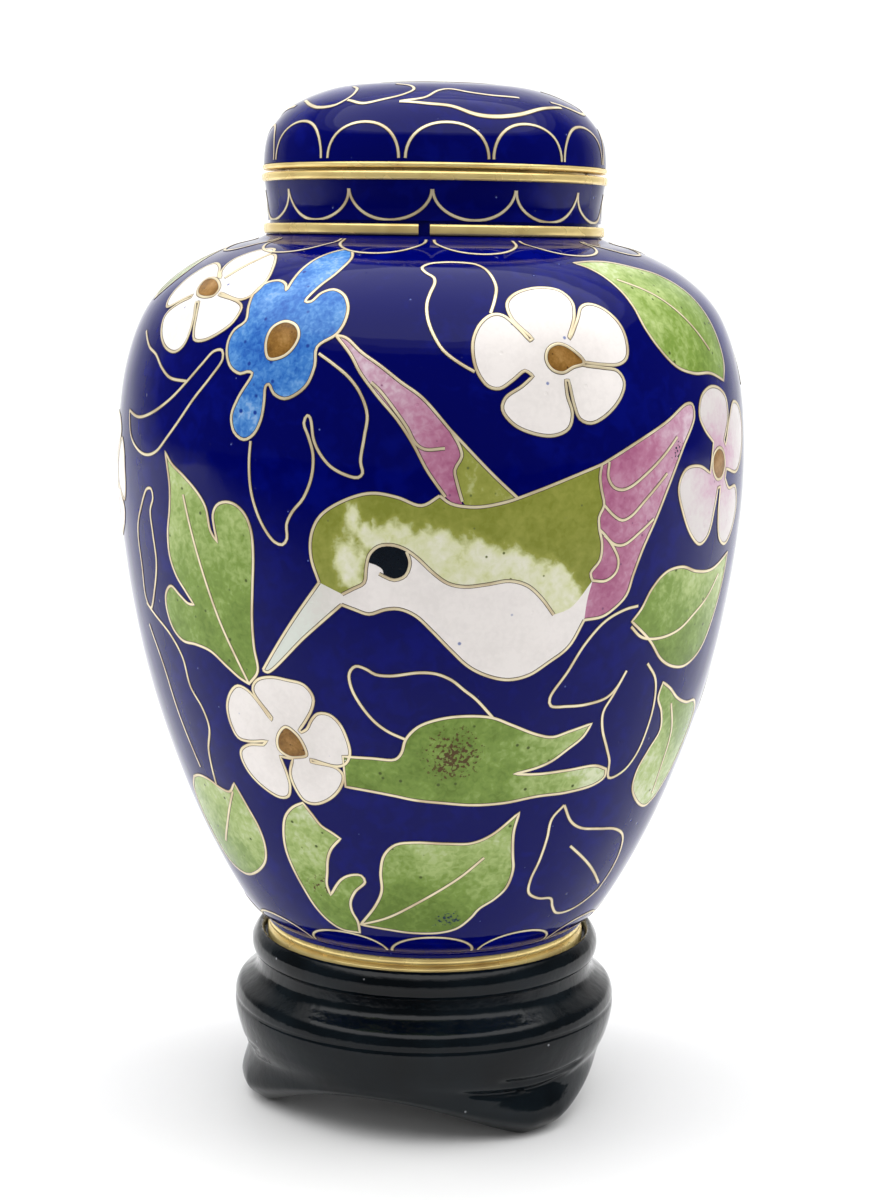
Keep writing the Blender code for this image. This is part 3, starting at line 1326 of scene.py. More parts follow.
@dataclass(frozen=True)
class Hummingbird:
    """The hummingbird that hovers in the middle of the front."""

    angle: float = 2.0
    height: float = 61.0
    beak: Run = ((-18.1, -11.6), (-14.6, -6.7), (-11.3, -2.3))
    head: Run = ((-11.3, -2.3), (-12.0, 0.0), (-11.9, 2.2), (-11.0, 3.9), (-8.7, 5.4), (-6.3, 6.1),
                 (-4.0, 5.8), (-1.8, 5.1), (-0.2, 6.0))
    back: Run = ((-0.2, 6.0), (0.8, 5.3), (3.0, 5.0), (5.6, 5.4), (8.4, 6.3), (12.4, 7.7), (15.1, 8.6))
    wing_edge: Run = ((15.1, 8.6), (19.2, 10.5), (23.1, 12.2), (26.2, 13.7), (27.2, 13.6),
                      (27.4, 12.5), (25.4, 9.7), (23.3, 6.3), (21.6, 3.1), (20.3, 0.6), (19.4, -1.8),
                      (18.8, -3.8), (17.5, -5.0), (16.2, -5.7), (14.2, -5.9))
    tail_seam: Run = ((15.1, 8.6), (14.9, 7.5), (15.1, 6.2), (15.4, 4.9), (14.9, 3.8), (15.0, 2.7))
    hook: Run = ((15.0, 2.7), (15.8, 2.0), (16.8, 0.8), (17.4, -0.3), (17.3, -1.4), (16.2, -2.2),
                 (14.7, -2.1))
    inner_seam: Run = ((15.0, 2.7), (15.4, 1.3), (15.3, -0.2), (14.4, -1.4), (14.7, -2.1))
    belly: Run = ((14.2, -5.9), (12.8, -8.5), (10.8, -10.0), (8.9, -11.2), (6.9, -11.6), (4.9, -11.2),
                  (2.9, -10.2), (1.0, -8.4), (-0.7, -6.6), (-2.3, -5.1), (-3.8, -4.5), (-5.1, -4.6),
                  (-6.6, -5.1), (-8.0, -4.7), (-9.2, -4.3))
    beak_low: Run = ((-9.2, -4.3), (-12.9, -7.6), (-17.6, -11.8), (-18.1, -11.6))
    face: Run = ((-9.1, -3.3), (-8.0, -2.7), (-7.0, -2.1), (-6.8, -0.8), (-6.5, 0.5), (-5.7, 1.3),
                 (-4.6, 1.5), (-3.4, 1.2), (-2.2, 0.4), (-0.6, -1.1), (0.7, -2.0), (2.2, -2.3),
                 (4.2, -2.1), (6.4, -1.8), (8.1, -2.3), (9.5, -3.5), (10.9, -5.2))
    eye: Run = ((-6.6, -0.1), (-6.3, 0.9), (-5.5, 1.35), (-4.6, 1.5), (-3.5, 1.2), (-2.9, 0.4),
                (-2.9, -0.6), (-3.5, -1.4), (-4.4, -1.7), (-5.1, -1.5), (-5.3, -0.8), (-5.9, -0.4))
    curl: Run = ((-3.1, 0.9), (-2.8, -0.1), (-3.2, -1.3), (-4.2, -1.75), (-5.0, -1.5), (-5.6, -1.2))
    feathers: tuple[Run, ...] = (
        ((15.9, 8.8), (15.8, 7.4), (16.4, 6.5), (17.3, 6.2), (18.3, 6.4), (20.4, 7.6), (22.7, 9.2),
         (24.5, 10.7)),
        ((15.4, 4.9), (16.5, 3.9), (17.5, 3.4), (18.5, 3.7), (20.2, 5.1), (23.0, 7.4)),
        ((15.6, 2.1), (16.8, 1.2), (17.9, 1.1), (19.8, 2.2), (21.4, 3.3)))
    near_wing_top: Run = ((-10.4, 20.4), (-9.4, 20.2), (-7.7, 18.8), (-5.9, 17.6), (-3.9, 16.1),
                          (-1.9, 14.7), (0.7, 11.8))
    near_wing_rear: Run = ((0.7, 11.8), (4.6, 7.8), (6.9, 5.7))
    near_wing_low: Run = ((0.3, 5.9), (-1.4, 8.3), (-2.6, 10.5), (-4.1, 12.7), (-5.9, 14.7),
                          (-7.7, 16.9), (-8.7, 18.5), (-10.4, 20.4))
    near_feather: Run = ((-6.6, 16.0), (-5.7, 15.2), (-4.3, 13.5), (-3.2, 12.0), (-2.4, 10.6),
                         (-1.6, 10.1), (0.2, 10.2))
    near_seam: Run = ((0.7, 11.8), (1.5, 10.4), (1.7, 9.5), (1.1, 8.3), (1.3, 7.2), (1.8, 5.5))
    flank_top: Run = ((-6.2, 4.0), (-5.3, 3.8), (-1.2, 3.3), (3.0, 2.4), (6.0, 1.6), (9.5, 0.6),
                      (12.4, -0.8), (14.7, -4.0))
    flank_corner: Point = (12.6, -4.6)
    tail_corner: Point = (14.3, -4.0)
    near_wing_foot: Run = ((7.0, 5.8), (5.6, 5.4), (4.3, 5.1), (3.0, 5.0), (1.8, 5.1))
    near_wing_gap: Run = ((1.8, 5.1), (0.8, 5.3))
    breast_shade: tuple[Point, Point, float, float] = ((-6.0, -5.0), (-13.0, -6.5), 0.08, 0.95)
    wing_shade: tuple[Point, Point, float, float] = ((18.0, 6.0), (25.5, 5.0), 0.25, 0.8)
    wing_stain: tuple[Point, float, float, float] = ((24.7, 9.2), 1.6, -0.6, 0.0)
    near_wing_shade: tuple[Point, Point, float, float] = ((1.5, 7.0), (-8.0, 18.0), 0.2, 0.9)
    even_shade: float = 0.3
    pale_spots: tuple[tuple[Point, Point], ...] = (
        ((-8.2, 3.4), (1.2, 2.2)), ((-8.1, -0.2), (2.3, 3.4)), ((-4.6, 2.6), (2.2, 1.3)),
        ((-6.6, 2.2), (1.6, 1.5)))
    group: str = "hummingbird"

    def shade_of_back(self, u: np.ndarray, v: np.ndarray) -> np.ndarray:
        """Olive on the crown and back; pale in blotches on the brow and cheek and down the flank.

        Args:
            u: how far right each point is.
            v: how far up each point is.

        Returns:
            The tint of each point.
        """
        # Three crossing waves make the edges of the pale parts ragged
        ragged = (0.5 * np.sin(1.9 * u + 0.8 * v) + 0.35 * np.sin(3.3 * u - 2.6 * v + 1.0)
                  + 0.25 * np.sin(5.4 * u + 4.3 * v))
        along, top = zip(*self.flank_top)
        below = (np.interp(u, along, top) - v + 0.5 * ragged) / 1.5
        pale = np.where(u > along[0], np.clip(below + 0.3, 0.0, 1.0), 0.0)
        for middle, size in self.pale_spots:
            away = np.hypot((u - middle[0]) / size[0], (v - middle[1]) / size[1])
            pale = np.maximum(pale, np.clip(1.5 - 1.5 * away + 0.3 * ragged, 0.0, 1.0))
        return 0.1 + (0.68 + 0.08 * ragged) * pale

    def lay(self, inlay: Inlay, skin: Skin) -> None:
        """Lay the bird on a skin, cell by cell.

        Args:
            inlay: what takes the wires and cells.
            skin: the outside that they lie on.
        """
        chart = Chart(skin, self.angle, self.height)
        group = self.group
        flank_end = (self.face[-1], self.flank_corner, self.hook[-1])
        tail_gap = (self.hook[-1], self.tail_corner, self.belly[0])
        breast = chain(self.beak, (self.beak[-1], self.face[0]), self.face, flank_end, tail_gap,
                       self.belly, self.beak_low)
        inlay.cell(group, chart, breast, Enamel.WHITE, slope_tint(*self.breast_shade))
        crown = chain(self.head, self.back, self.tail_seam, self.inner_seam, flank_end[::-1],
                      self.face[::-1], (self.face[0], self.head[0]))
        inlay.cell(group, chart, crown, Enamel.OLIVE, self.shade_of_back, fineness=2.2)
        wing = chain(self.wing_edge, tail_gap[::-1], self.inner_seam[::-1], self.tail_seam[::-1])
        inlay.cell(group, chart, wing, Enamel.PINK, slope_tint(*self.wing_shade),
                   spot_tint(*self.wing_stain))
        near = chain(self.near_wing_top, self.near_seam, self.near_wing_gap, self.near_wing_low)
        inlay.cell(group, chart, near, Enamel.PINK, slope_tint(*self.near_wing_shade))
        base = chain(self.near_wing_rear, self.near_wing_foot, self.near_seam[::-1])
        inlay.cell(group, chart, base, Enamel.OLIVE, flat_tint(self.even_shade))
        inlay.cell(group, chart, smooth(self.eye, True, 0.25), Enamel.EYE, flat_tint(self.even_shade),
                   lift=inlay.heart_lift)
        lines = [self.beak, self.head, self.back, self.wing_edge, self.tail_seam, self.hook,
                 self.inner_seam, self.belly, self.beak_low, self.face, self.curl,
                 self.near_wing_top, self.near_wing_rear, self.near_wing_low, self.near_feather,
                 self.near_seam, *self.feathers]
        inlay.wires(group, chart, [(smooth(line), False) for line in lines])


@dataclass(frozen=True)
class Scallops:
    """A border of thirteen arches of wire round the urn, bent by hand and so not quite alike."""

    skin: Skin
    foot: float
    tip: float
    first: float
    group: str = "border"
    count: int = 13
    gaps: Point = (0.25, 0.95)
    rises: Point = (0.95, 1.04)
    fullness: float = 2.08
    steps: int = 24

    def lay(self, inlay: Inlay) -> None:
        """Lay the arches.

        Args:
            inlay: what takes the wires.
        """
        middle = Chart(self.skin, 0.0, self.foot)
        radius, reach = middle.scale()
        tip = float(np.interp(self.tip, self.skin.height, self.skin.reach))
        power = 2.0 / self.fullness
        hand = random.Random(self.first)
        for index in range(self.count):
            half = math.pi * radius / self.count - hand.uniform(*self.gaps) / 2.0
            rise = (tip - reach) * radius * hand.uniform(*self.rises)
            arch = []
            for step in range(self.steps + 1):
                turn = math.pi * step / self.steps
                across, up = -math.cos(turn), math.sin(turn)
                arch.append((half * math.copysign(abs(across) ** power, across), rise * up ** power))
            chart = Chart(self.skin, self.first + index * 360.0 / self.count, self.foot)
            inlay.wires(self.group, chart, [(arch, False)])


def borders(vase: Vase, lid: Lid) -> list[Scallops]:
    """The rows of arches on the lid, the neck, the shoulder and the foot.

    Args:
        vase: the vase that three of them lie on.
        lid: the lid that the first one lies on.

    Returns:
        The borders.
    """
    return [Scallops(lid.skin(), 97.2, 100.7, 4.0),
            Scallops(vase.neck_skin(), 94.35, 91.45, -14.5, gaps=(0.02, 0.12), fullness=1.95),
            Scallops(vase.body_skin(), 89.6, 88.3, -15.2),
            Scallops(vase.body_skin(), 20.2, 22.1, 2.6)]


def round_petals(count: int, reach: float, width: float, turn: float = 0.0,
                 root: float = 1.7) -> tuple[Run, ...]:
    """Equal petals round a flower's heart.

    Args:
        count: how many.
        reach: how far a petal's tip is from the middle.
        width: how wide a petal is.
        turn: the first petal's direction in degrees.
        root: how far a petal's root is from the middle.

    Returns:
        The petals' runs.
    """
    widest = math.tan(math.pi / count) * PETAL_GAP
    side = []
    for station, share in PETAL_STATIONS:
        along = root + (reach - root) * station
        side.append((along, min(share * width, along * widest)))
    outline = [(along, -across) for along, across in side] + [(reach * PETAL_TIP, 0.0)] + side[::-1]
    petals = []
    for index in range(count):
        angle = math.radians(turn + index * 360.0 / count)
        cos, sin = math.cos(angle), math.sin(angle)
        petals.append(tuple((along * cos - across * sin, along * sin + across * cos)
                            for along, across in outline))
    return tuple(petals)


def round_heart(radius: float) -> Run:
    """A small round heart for a flower."""
    return tuple((radius * math.cos(math.tau * step / 8), radius * math.sin(math.tau * step / 8))
                 for step in range(8))


def blade(length: float, width: float, turn: float, bend: float = 0.0) -> tuple[tuple[Run, Run], Run]:
    """A pointed leaf from its stalk at the middle of the drawing.

    Args:
        length: from stalk to tip.
        width: across its widest part.
        turn: its direction in degrees.
        bend: how far its tip is bent aside.

    Returns:
        Its two sides as runs, and its rib.
    """
    cos, sin = math.cos(math.radians(turn)), math.sin(math.radians(turn))

    def place(along: float, across: float) -> Point:
        """A point at a share of the length, so far to the side."""
        aside = across + bend * along * along
        return along * length * cos - aside * sin, along * length * sin + aside * cos

    left = tuple(place(along, share * width) for along, share in LEAF_STATIONS)
    right = tuple(place(along, -share * width) for along, share in LEAF_STATIONS[::-1])
    rib = tuple(place(along, 0.0) for along in RIB_STATIONS)
    return (left, right), rib


def back_leaf(angle: float, height: float, length: float, width: float, turn: float,
              bend: float = 0.0, bare: bool = False) -> Leaf | Tendril:
    """A plain leaf for the sides and the back.

    Args:
        angle: where it is, round the vase.
        height: how high its stalk is.
        length: from stalk to tip.
        width: across its widest part.
        turn: its direction in degrees.
        bend: how far its tip is bent aside.
        bare: whether it is drawn in bare wire.

    Returns:
        The leaf.
    """
    sides, rib = blade(length, width, turn, bend)
    if bare:
        return Tendril(angle, height, (*sides, rib), "back_outline_leaves")
    along = (length * math.cos(math.radians(turn)), length * math.sin(math.radians(turn)))
    return Leaf(angle, height, sides, rib, ((0.0, 0.0), along), (0.1, 0.7), group="back_leaves")


def back_flower(angle: float, height: float, reach: float, enamel: Enamel, turn: float) -> Flower:
    """A plain five-petalled flower for the sides and the back.

    Args:
        angle: where it is, round the vase.
        height: how high its middle is.
        reach: how far its petals reach.
        enamel: its petals' enamel.
        turn: its first petal's direction in degrees.

    Returns:
        The flower.
    """
    low, high = (0.1, 0.7) if enamel is Enamel.SKY else (0.5, 0.05)
    return Flower(angle, height, round_petals(5, reach, reach * 0.98, turn), round_heart(1.5), enamel,
                  "back_flowers", low, high, reach)


@dataclass(frozen=True)
class Garden:
    """Every flower, leaf and tendril round the vase, in the order that they are laid in."""

    blue_flower: Flower = Flower(-27.0, 80.5, (
        ((3.3, 14.1), (4.0, 11.9), (3.4, 8.6), (2.1, 6.0), (1.4, 4.1), (2.0, 4.1), (2.8, 5.3),
         (3.9, 5.8), (5.2, 5.1), (6.0, 3.6), (6.0, 2.0), (5.4, 0.7), (3.7, -0.6), (3.7, -2.3),
         (3.2, -3.9), (2.3, -4.8), (1.1, -5.3), (0.0, -4.9), (-0.6, -4.1), (-0.9, -4.3),
         (-0.9, -5.6), (-1.1, -7.2), (-1.8, -8.5), (-2.8, -9.0), (-3.9, -8.4), (-4.3, -7.0),
         (-3.7, -5.4), (-2.5, -3.2), (-3.1, -3.1), (-3.8, -3.3), (-5.0, -2.8), (-5.8, -1.6),
         (-6.0, -0.3), (-5.6, 0.8), (-4.6, 1.7), (-5.0, 3.4), (-5.2, 5.0), (-4.6, 6.5),
         (-3.1, 7.0), (-1.9, 6.4), (-1.4, 5.5), (-1.4, 7.2), (-1.2, 9.5), (-0.5, 12.0),
         (0.9, 13.9), (2.1, 14.6), (3.3, 14.1)),),
        ((-1.0, -1.8), (-1.6, -0.3), (-1.3, 1.1), (-0.1, 1.8), (1.2, 1.4), (1.7, 0.4),
         (1.3, -0.8), (0.4, -1.6)), Enamel.SKY, low=0.2, high=0.6, reach=9.0)
    large_white_flower: Flower = Flower(20.5, 79.0, (
        ((-1.5, 2.1), (-3.3, 4.2), (-3.5, 5.9), (-2.3, 7.3), (0.4, 8.2), (2.7, 7.8), (3.6, 6.3),
         (3.3, 4.5), (2.2, 2.3)),
        ((2.3, 2.1), (3.6, 4.2), (4.4, 5.5), (5.5, 5.9), (7.0, 5.3), (8.3, 3.6), (8.6, 1.8),
         (8.2, 0.2), (7.2, -0.4), (5.3, -0.4), (3.3, -0.15)),
        ((3.3, -0.45), (5.3, -0.7), (6.9, -1.0), (7.5, -2.0), (7.0, -3.3), (5.3, -4.9), (3.6, -5.6),
         (2.5, -5.2), (2.0, -4.0), (1.6, -1.8)),
        ((1.3, -1.8), (1.4, -3.2), (1.8, -4.7), (1.4, -6.0), (0.0, -6.6), (-1.9, -6.4),
         (-3.7, -5.6), (-4.7, -4.3), (-4.4, -3.3), (-2.9, -2.3), (-1.8, -1.4)),
        ((-2.0, -1.2), (-2.5, -0.9), (-3.6, -1.7), (-4.9, -2.5), (-5.9, -2.3), (-6.8, -1.1),
         (-7.2, 0.5), (-7.1, 2.1), (-6.3, 3.7), (-5.1, 4.6), (-4.1, 4.5), (-2.9, 3.3), (-1.8, 1.9))),
        ((3.4, -0.2), (2.1, 1.2), (0.9, 1.6), (-0.1, 1.1), (-0.4, 0.1), (0.1, -0.8), (1.1, -1.1),
         (2.2, -0.6)))
    shoulder_flower: Flower = Flower(-52.0, 85.0, (
        ((-1.5, -1.2), (-2.9, -1.9), (-5.0, -2.7), (-5.9, -1.9), (-6.2, -0.4), (-6.0, 1.8),
         (-4.5, 3.7), (-2.0, 3.1), (0.1, 1.4)),
        ((0.8, 1.2), (-0.5, 2.3), (-1.4, 4.7), (-0.3, 6.8), (1.8, 7.9), (3.3, 7.4), (3.5, 6.2),
         (2.9, 4.6), (2.1, 3.0), (1.35, 1.4)),
        ((1.55, 1.3), (2.3, 2.8), (3.15, 4.5), (3.85, 6.1), (4.6, 6.1), (6.3, 4.2), (7.5, 1.2),
         (7.1, -0.8), (6.1, -1.5), (2.7, -0.8)),
        ((2.75, -1.05), (5.9, -1.8), (6.6, -2.4), (6.3, -3.8), (4.8, -5.0), (3.2, -5.6), (2.1, -5.5),
         (1.7, -4.8), (1.2, -3.4), (0.5, -2.0)),
        ((0.0, -2.0), (0.9, -3.4), (1.2, -5.1), (0.9, -6.1), (-0.1, -6.7), (-1.9, -6.4),
         (-3.6, -5.2), (-4.4, -3.6), (-3.2, -2.4), (-1.4, -1.5))),
        ((0.7, 0.8), (2.1, -0.3), (2.1, -1.1), (0.9, -1.4), (-0.8, -1.0), (-1.6, 0.0), (-1.7, 0.9),
         (-0.9, 1.2)))
    low_white_flower: Flower = Flower(-27.0, 43.0, (
        ((-1.6, 2.2), (-3.3, 4.7), (-2.7, 5.7), (-1.2, 6.2), (0.6, 6.1), (2.2, 5.8), (3.0, 4.7),
         (2.8, 3.6), (1.9, 2.1), (1.2, 1.2)),
        ((1.4, 1.0), (2.0, 1.4), (2.6, 2.4), (3.3, 3.1), (4.4, 3.1), (5.3, 2.3), (5.9, 0.8),
         (6.1, -0.8), (5.6, -1.9), (4.7, -2.3), (2.0, -1.8)),
        ((2.0, -2.1), (4.6, -2.5), (5.2, -3.3), (4.7, -4.8), (3.4, -6.2), (1.7, -7.0), (0.5, -6.8),
         (-0.2, -5.7), (-0.6, -3.8), (0.0, -2.0)),
        ((-1.4, -1.9), (-1.0, -3.7), (-0.9, -5.2), (-1.4, -6.5), (-2.5, -6.8), (-4.3, -6.0),
         (-5.9, -4.5), (-6.5, -2.9), (-6.3, -2.0), (-5.1, -1.2), (-3.2, -0.9)),
        ((-2.6, -0.4), (-5.1, -0.8), (-6.3, -0.6), (-6.9, 0.7), (-6.9, 2.6), (-6.0, 4.2),
         (-5.0, 4.9), (-3.9, 4.6), (-2.9, 3.6), (-1.7, 1.9))),
        ((-0.2, 1.4), (-1.3, 0.2), (-1.4, -1.1), (-0.3, -1.8), (0.8, -1.7), (1.6, -1.4),
         (1.4, -0.2), (0.8, 0.8)))
    blush_flower: Flower = Flower(60.0, 69.0, (
        ((-1.2, 1.9), (-2.9, 3.2), (-3.8, 4.6), (-3.2, 6.3), (-1.3, 7.2), (1.0, 7.0), (2.6, 6.0),
         (2.8, 4.2), (1.4, 1.9)),
        ((1.8, 1.4), (3.0, 3.6), (4.8, 5.4), (7.4, 4.8), (8.8, 2.6), (7.9, 0.2), (5.6, -1.4),
         (2.0, -0.9)),
        ((1.7, -1.8), (2.8, -2.8), (5.2, -2.9), (6.2, -4.6), (5.4, -7.0), (3.4, -8.4), (1.3, -7.6),
         (0.4, -5.2), (0.5, -2.5)),
        ((-0.1, -2.6), (-0.6, -4.4), (-1.5, -7.0), (-3.0, -7.8), (-4.8, -6.8), (-6.4, -4.7),
         (-7.4, -2.0), (-6.4, -0.4), (-4.0, -0.2), (-1.9, -1.0))),
        ((0.0, 1.3), (-1.2, 0.6), (-1.3, -0.7), (-0.4, -1.7), (0.8, -1.6), (1.6, -0.5), (1.2, 0.8)),
        Enamel.SHADED_BLUSH, low=0.95, reach=6.5)
    lobed_leaf: Leaf = Leaf(-43.0, 56.0, (
        ((-4.7, 13.3), (-4.3, 12.0), (-3.9, 10.2), (-4.0, 8.2), (-4.6, 5.7), (-4.6, 3.5),
         (-3.8, 1.7), (-2.7, 0.5), (-1.5, -0.8)),
        ((-1.5, -0.8), (-2.4, -0.8), (-3.7, -0.1), (-5.0, 0.6), (-6.2, -0.3), (-6.5, -1.9),
         (-5.8, -3.8), (-4.3, -4.8), (-2.0, -4.9), (0.1, -5.3), (2.1, -6.6), (3.6, -7.6),
         (4.7, -8.1)),
        ((4.7, -8.1), (6.0, -6.6), (5.9, -4.2), (6.0, -1.4), (6.4, 1.9), (6.7, 4.8), (6.6, 7.0),
         (6.0, 8.4), (5.0, 9.2), (3.8, 9.4), (2.7, 9.0), (2.2, 8.1), (2.3, 7.0), (2.6, 5.6)),
        ((2.6, 5.6), (1.8, 6.6), (1.3, 8.7), (0.2, 10.0), (-1.7, 11.3), (-3.6, 12.3),
         (-4.7, 13.3))),
        ((-1.8, 9.6), (-0.6, 5.5), (0.6, 1.7), (2.0, -2.2), (3.6, -5.7), (4.7, -8.1)),
        ((3.0, -6.0), (-3.0, 9.0)), (0.15, 0.6))
    forked_leaf: Leaf = Leaf(8.0, 42.0, (
        ((-11.8, -0.1), (-9.0, -0.1), (-6.8, -0.1), (-6.2, 0.6), (-5.8, 2.0), (-4.7, 3.3),
         (-2.8, 4.1), (-0.5, 4.4), (1.9, 4.2), (3.8, 3.4), (6.3, 2.3), (8.0, 1.9), (9.6, 2.3),
         (12.0, 2.9)),
        ((12.0, 2.9), (11.3, 1.6), (9.8, 0.4), (8.3, -0.7), (6.8, -1.3), (4.6, -1.8)),
        ((4.6, -1.8), (6.9, -2.0), (10.3, -1.9), (13.6, -1.8), (15.2, -2.4)),
        ((15.2, -2.4), (15.3, -3.3), (14.2, -4.0), (10.9, -4.5), (7.4, -4.6), (4.0, -5.1),
         (0.8, -5.2), (-2.3, -4.9), (-5.0, -4.6), (-6.9, -4.2), (-9.2, -3.8), (-12.3, -3.4))),
        pale=((2.0, 0.0), (13.0, 1.5)), tints=(0.22, 0.85), stain=((-1.4, 0.4), 3.6, 1.0))
    shoulder_leaf: Leaf = Leaf(47.0, 83.0, (
        ((-6.2, 8.2), (-3.2, 8.6), (-0.2, 8.4), (3.0, 7.2), (6.8, 5.4), (9.0, 3.0), (9.9, -0.1),
         (10.2, -2.8), (10.0, -5.0), (8.9, -6.6)),
        ((8.9, -6.6), (6.0, -5.8), (3.0, -5.7), (0.5, -5.0), (-1.3, -3.4), (-2.5, -1.3),
         (-2.8, 0.9), (-3.1, 2.9), (-3.8, 5.2), (-4.9, 7.0), (-6.2, 8.2))),
        ((-2.3, 4.8), (1.3, 2.6), (4.3, -0.4), (7.1, -3.7)), ((-4.0, 7.0), (7.0, -3.0)), (0.72, 0.3))
    right_leaf: Leaf = Leaf(49.0, 55.0, (
        ((-5.9, -0.4), (-4.9, 0.7), (-3.8, 2.6), (-2.1, 4.0), (0.3, 4.3), (3.0, 3.6), (6.3, 3.4),
         (10.6, 4.6)),
        ((10.6, 4.6), (10.4, 2.0), (9.4, -1.4), (7.5, -4.7), (4.5, -6.1), (1.8, -5.9),
         (-0.7, -4.8), (-3.0, -2.6), (-5.9, -0.4))),
        ((-5.9, -0.9), (-4.3, -2.1), (-1.7, -2.5), (1.5, -2.0), (3.8, -0.8), (6.4, 0.7), (8.5, 2.7)),
        ((0.0, -5.0), (2.0, 4.0)), (0.1, 0.6))
    low_right_leaf: Leaf = Leaf(53.0, 42.0, (
        ((-1.5, 5.9), (-1.7, 4.4), (-0.5, 2.8), (0.3, 0.7), (-0.8, -1.3), (-1.7, -3.4),
         (-1.4, -5.6), (1.2, -8.0), (3.6, -8.8), (5.6, -8.0)),
        ((5.6, -8.0), (8.0, -4.8), (9.0, -1.2), (8.8, 1.2), (7.2, 2.6), (4.6, 2.9), (2.0, 3.8),
         (0.0, 5.1), (-1.5, 5.9))),
        ((1.0, 3.4), (3.0, 0.0), (3.6, -4.4), (4.0, -7.4)), ((6.0, 2.0), (-1.0, -6.0)), (0.2, 0.9))
    broad_leaf: Leaf = Leaf(4.0, 29.0, (
        ((-8.9, -6.9), (-6.8, -3.8), (-5.9, -1.6), (-5.8, 0.8), (-5.3, 2.9), (-4.2, 4.1),
         (-2.5, 4.4), (0.2, 4.3), (2.5, 4.3), (4.2, 5.1), (6.4, 7.3)),
        ((6.4, 7.3), (6.2, 5.3), (6.5, 2.9), (6.9, 0.9), (6.6, -1.4), (5.6, -2.8), (4.2, -4.0),
         (3.4, -5.4), (2.1, -6.9), (0.2, -7.6), (-2.9, -7.7), (-5.9, -7.3), (-8.9, -6.9))),
        ((-8.9, -6.9), (-5.6, -5.4), (-2.4, -3.1), (1.7, 0.3), (3.8, 2.6)),
        ((-3.0, -6.0), (-1.0, 4.5)), (0.0, 0.62), ((1.0, -5.6), 1.8, -0.8))
    curled_leaf: Leaf = Leaf(-28.0, 30.0, (
        ((0.6, 6.7), (-0.5, 6.1), (-1.6, 4.9), (-2.3, 3.0), (-2.6, 0.9), (-2.4, -1.4),
         (-1.9, -3.8), (-1.2, -6.3), (-0.1, -8.2), (1.4, -9.4), (3.7, -9.6)),
        ((3.7, -9.6), (3.8, -7.7), (3.4, -6.1), (3.5, -4.7), (4.3, -3.1), (5.5, -1.7), (5.2, -0.9),
         (4.1, -1.0), (3.0, -1.7), (1.3, -4.1)),
        ((1.3, -4.1), (1.2, -2.6), (1.6, -1.0), (2.0, 0.7), (2.6, 2.0), (3.7, 3.3)),
        ((3.7, 3.3), (2.9, 3.9), (2.0, 4.5), (1.3, 5.6), (0.6, 6.7))),
        pale=((-2.0, 4.0), (3.0, -8.0)), tints=(0.75, 0.15), stain=((0.4, -3.0), 2.4, 0.5))
    low_left_leaf: Leaf = Leaf(-57.0, 31.0, (
        ((-2.6, 5.4), (-1.0, 5.9), (0.9, 5.9), (2.6, 5.4), (4.0, 5.3), (5.1, 6.4)),
        ((5.1, 6.4), (6.0, 4.1), (6.7, 2.0), (6.7, -0.2), (5.8, -2.3), (3.2, -4.4), (0.3, -5.4),
         (-2.8, -4.6), (-4.4, -2.0), (-4.8, 1.0), (-4.2, 3.8), (-2.6, 5.4))),
        ((4.5, 5.4), (3.2, 3.6), (1.5, 1.3), (-0.8, -1.4)), ((4.0, 4.0), (-3.0, -3.0)), (0.7, 0.2))
    hanging_outline: Tendril = Tendril(-27.0, 69.0, (
        ((-2.2, 2.3), (-2.3, 0.4), (-2.1, -2.0), (-1.5, -4.0), (-0.6, -5.7), (0.4, -6.8), (1.2, -7.0),
         (1.7, -6.4), (1.7, -5.1), (2.3, -3.9), (3.4, -2.6), (4.2, -0.6), (4.3, 1.4), (3.8, 3.0),
         (3.3, 4.2), (3.6, 4.9), (3.9, 4.7), (4.1, 3.9), (4.3, 2.8), (4.9, 1.6), (6.0, 0.4),
         (7.4, -0.3), (8.6, -0.5), (9.0, -0.1), (8.8, 0.9), (9.1, 3.2), (9.3, 5.1), (8.6, 7.0),
         (7.4, 8.5), (5.8, 9.7), (4.2, 10.7)),))
    upper_outline: Tendril = Tendril(2.0, 83.0, (
        ((4.3, 0.2), (4.9, 1.8), (5.3, 3.4), (5.2, 5.0), (4.7, 6.6), (3.8, 7.6), (2.1, 8.0),
         (0.3, 8.0), (-1.4, 7.6), (-2.2, 6.7), (-1.7, 5.7), (-0.9, 4.9), (-0.8, 4.0), (-1.2, 2.6),
         (-1.5, 1.2), (-1.4, -0.4), (-0.9, -1.9), (0.0, -3.4), (1.4, -4.5), (2.6, -5.2)),))
    middle_outline: Tendril = Tendril(0.0, 48.0, (
        ((-2.1, -4.2), (-3.6, -3.5), (-4.9, -2.5), (-6.2, -0.8), (-7.0, 0.9), (-7.1, 2.3),
         (-6.5, 3.0), (-5.6, 2.8), (-4.7, 2.3), (-3.4, 2.2), (-0.7, 2.6), (0.8, 2.5), (2.2, 1.9),
         (3.4, 0.9), (4.5, 0.0), (6.2, -1.9)),))
    right_outline: Tendril = Tendril(35.0, 48.0, (
        ((2.1, 8.0), (0.6, 7.8), (-1.5, 6.9), (-3.4, 4.9), (-4.9, 2.3), (-6.4, -0.2), (-6.2, -1.0),
         (-4.4, -1.2), (-2.4, -1.2), (0.0, -0.7), (1.0, 0.2), (1.9, 1.8)),
        ((1.9, 1.8), (0.7, -0.6), (-0.1, -2.2), (0.2, -4.0), (1.5, -6.5), (2.3, -8.0),
         (2.9, -10.1), (5.0, -9.6), (6.4, -7.8), (7.0, -5.0), (7.0, -2.1), (6.3, 0.4), (4.6, 2.2))))
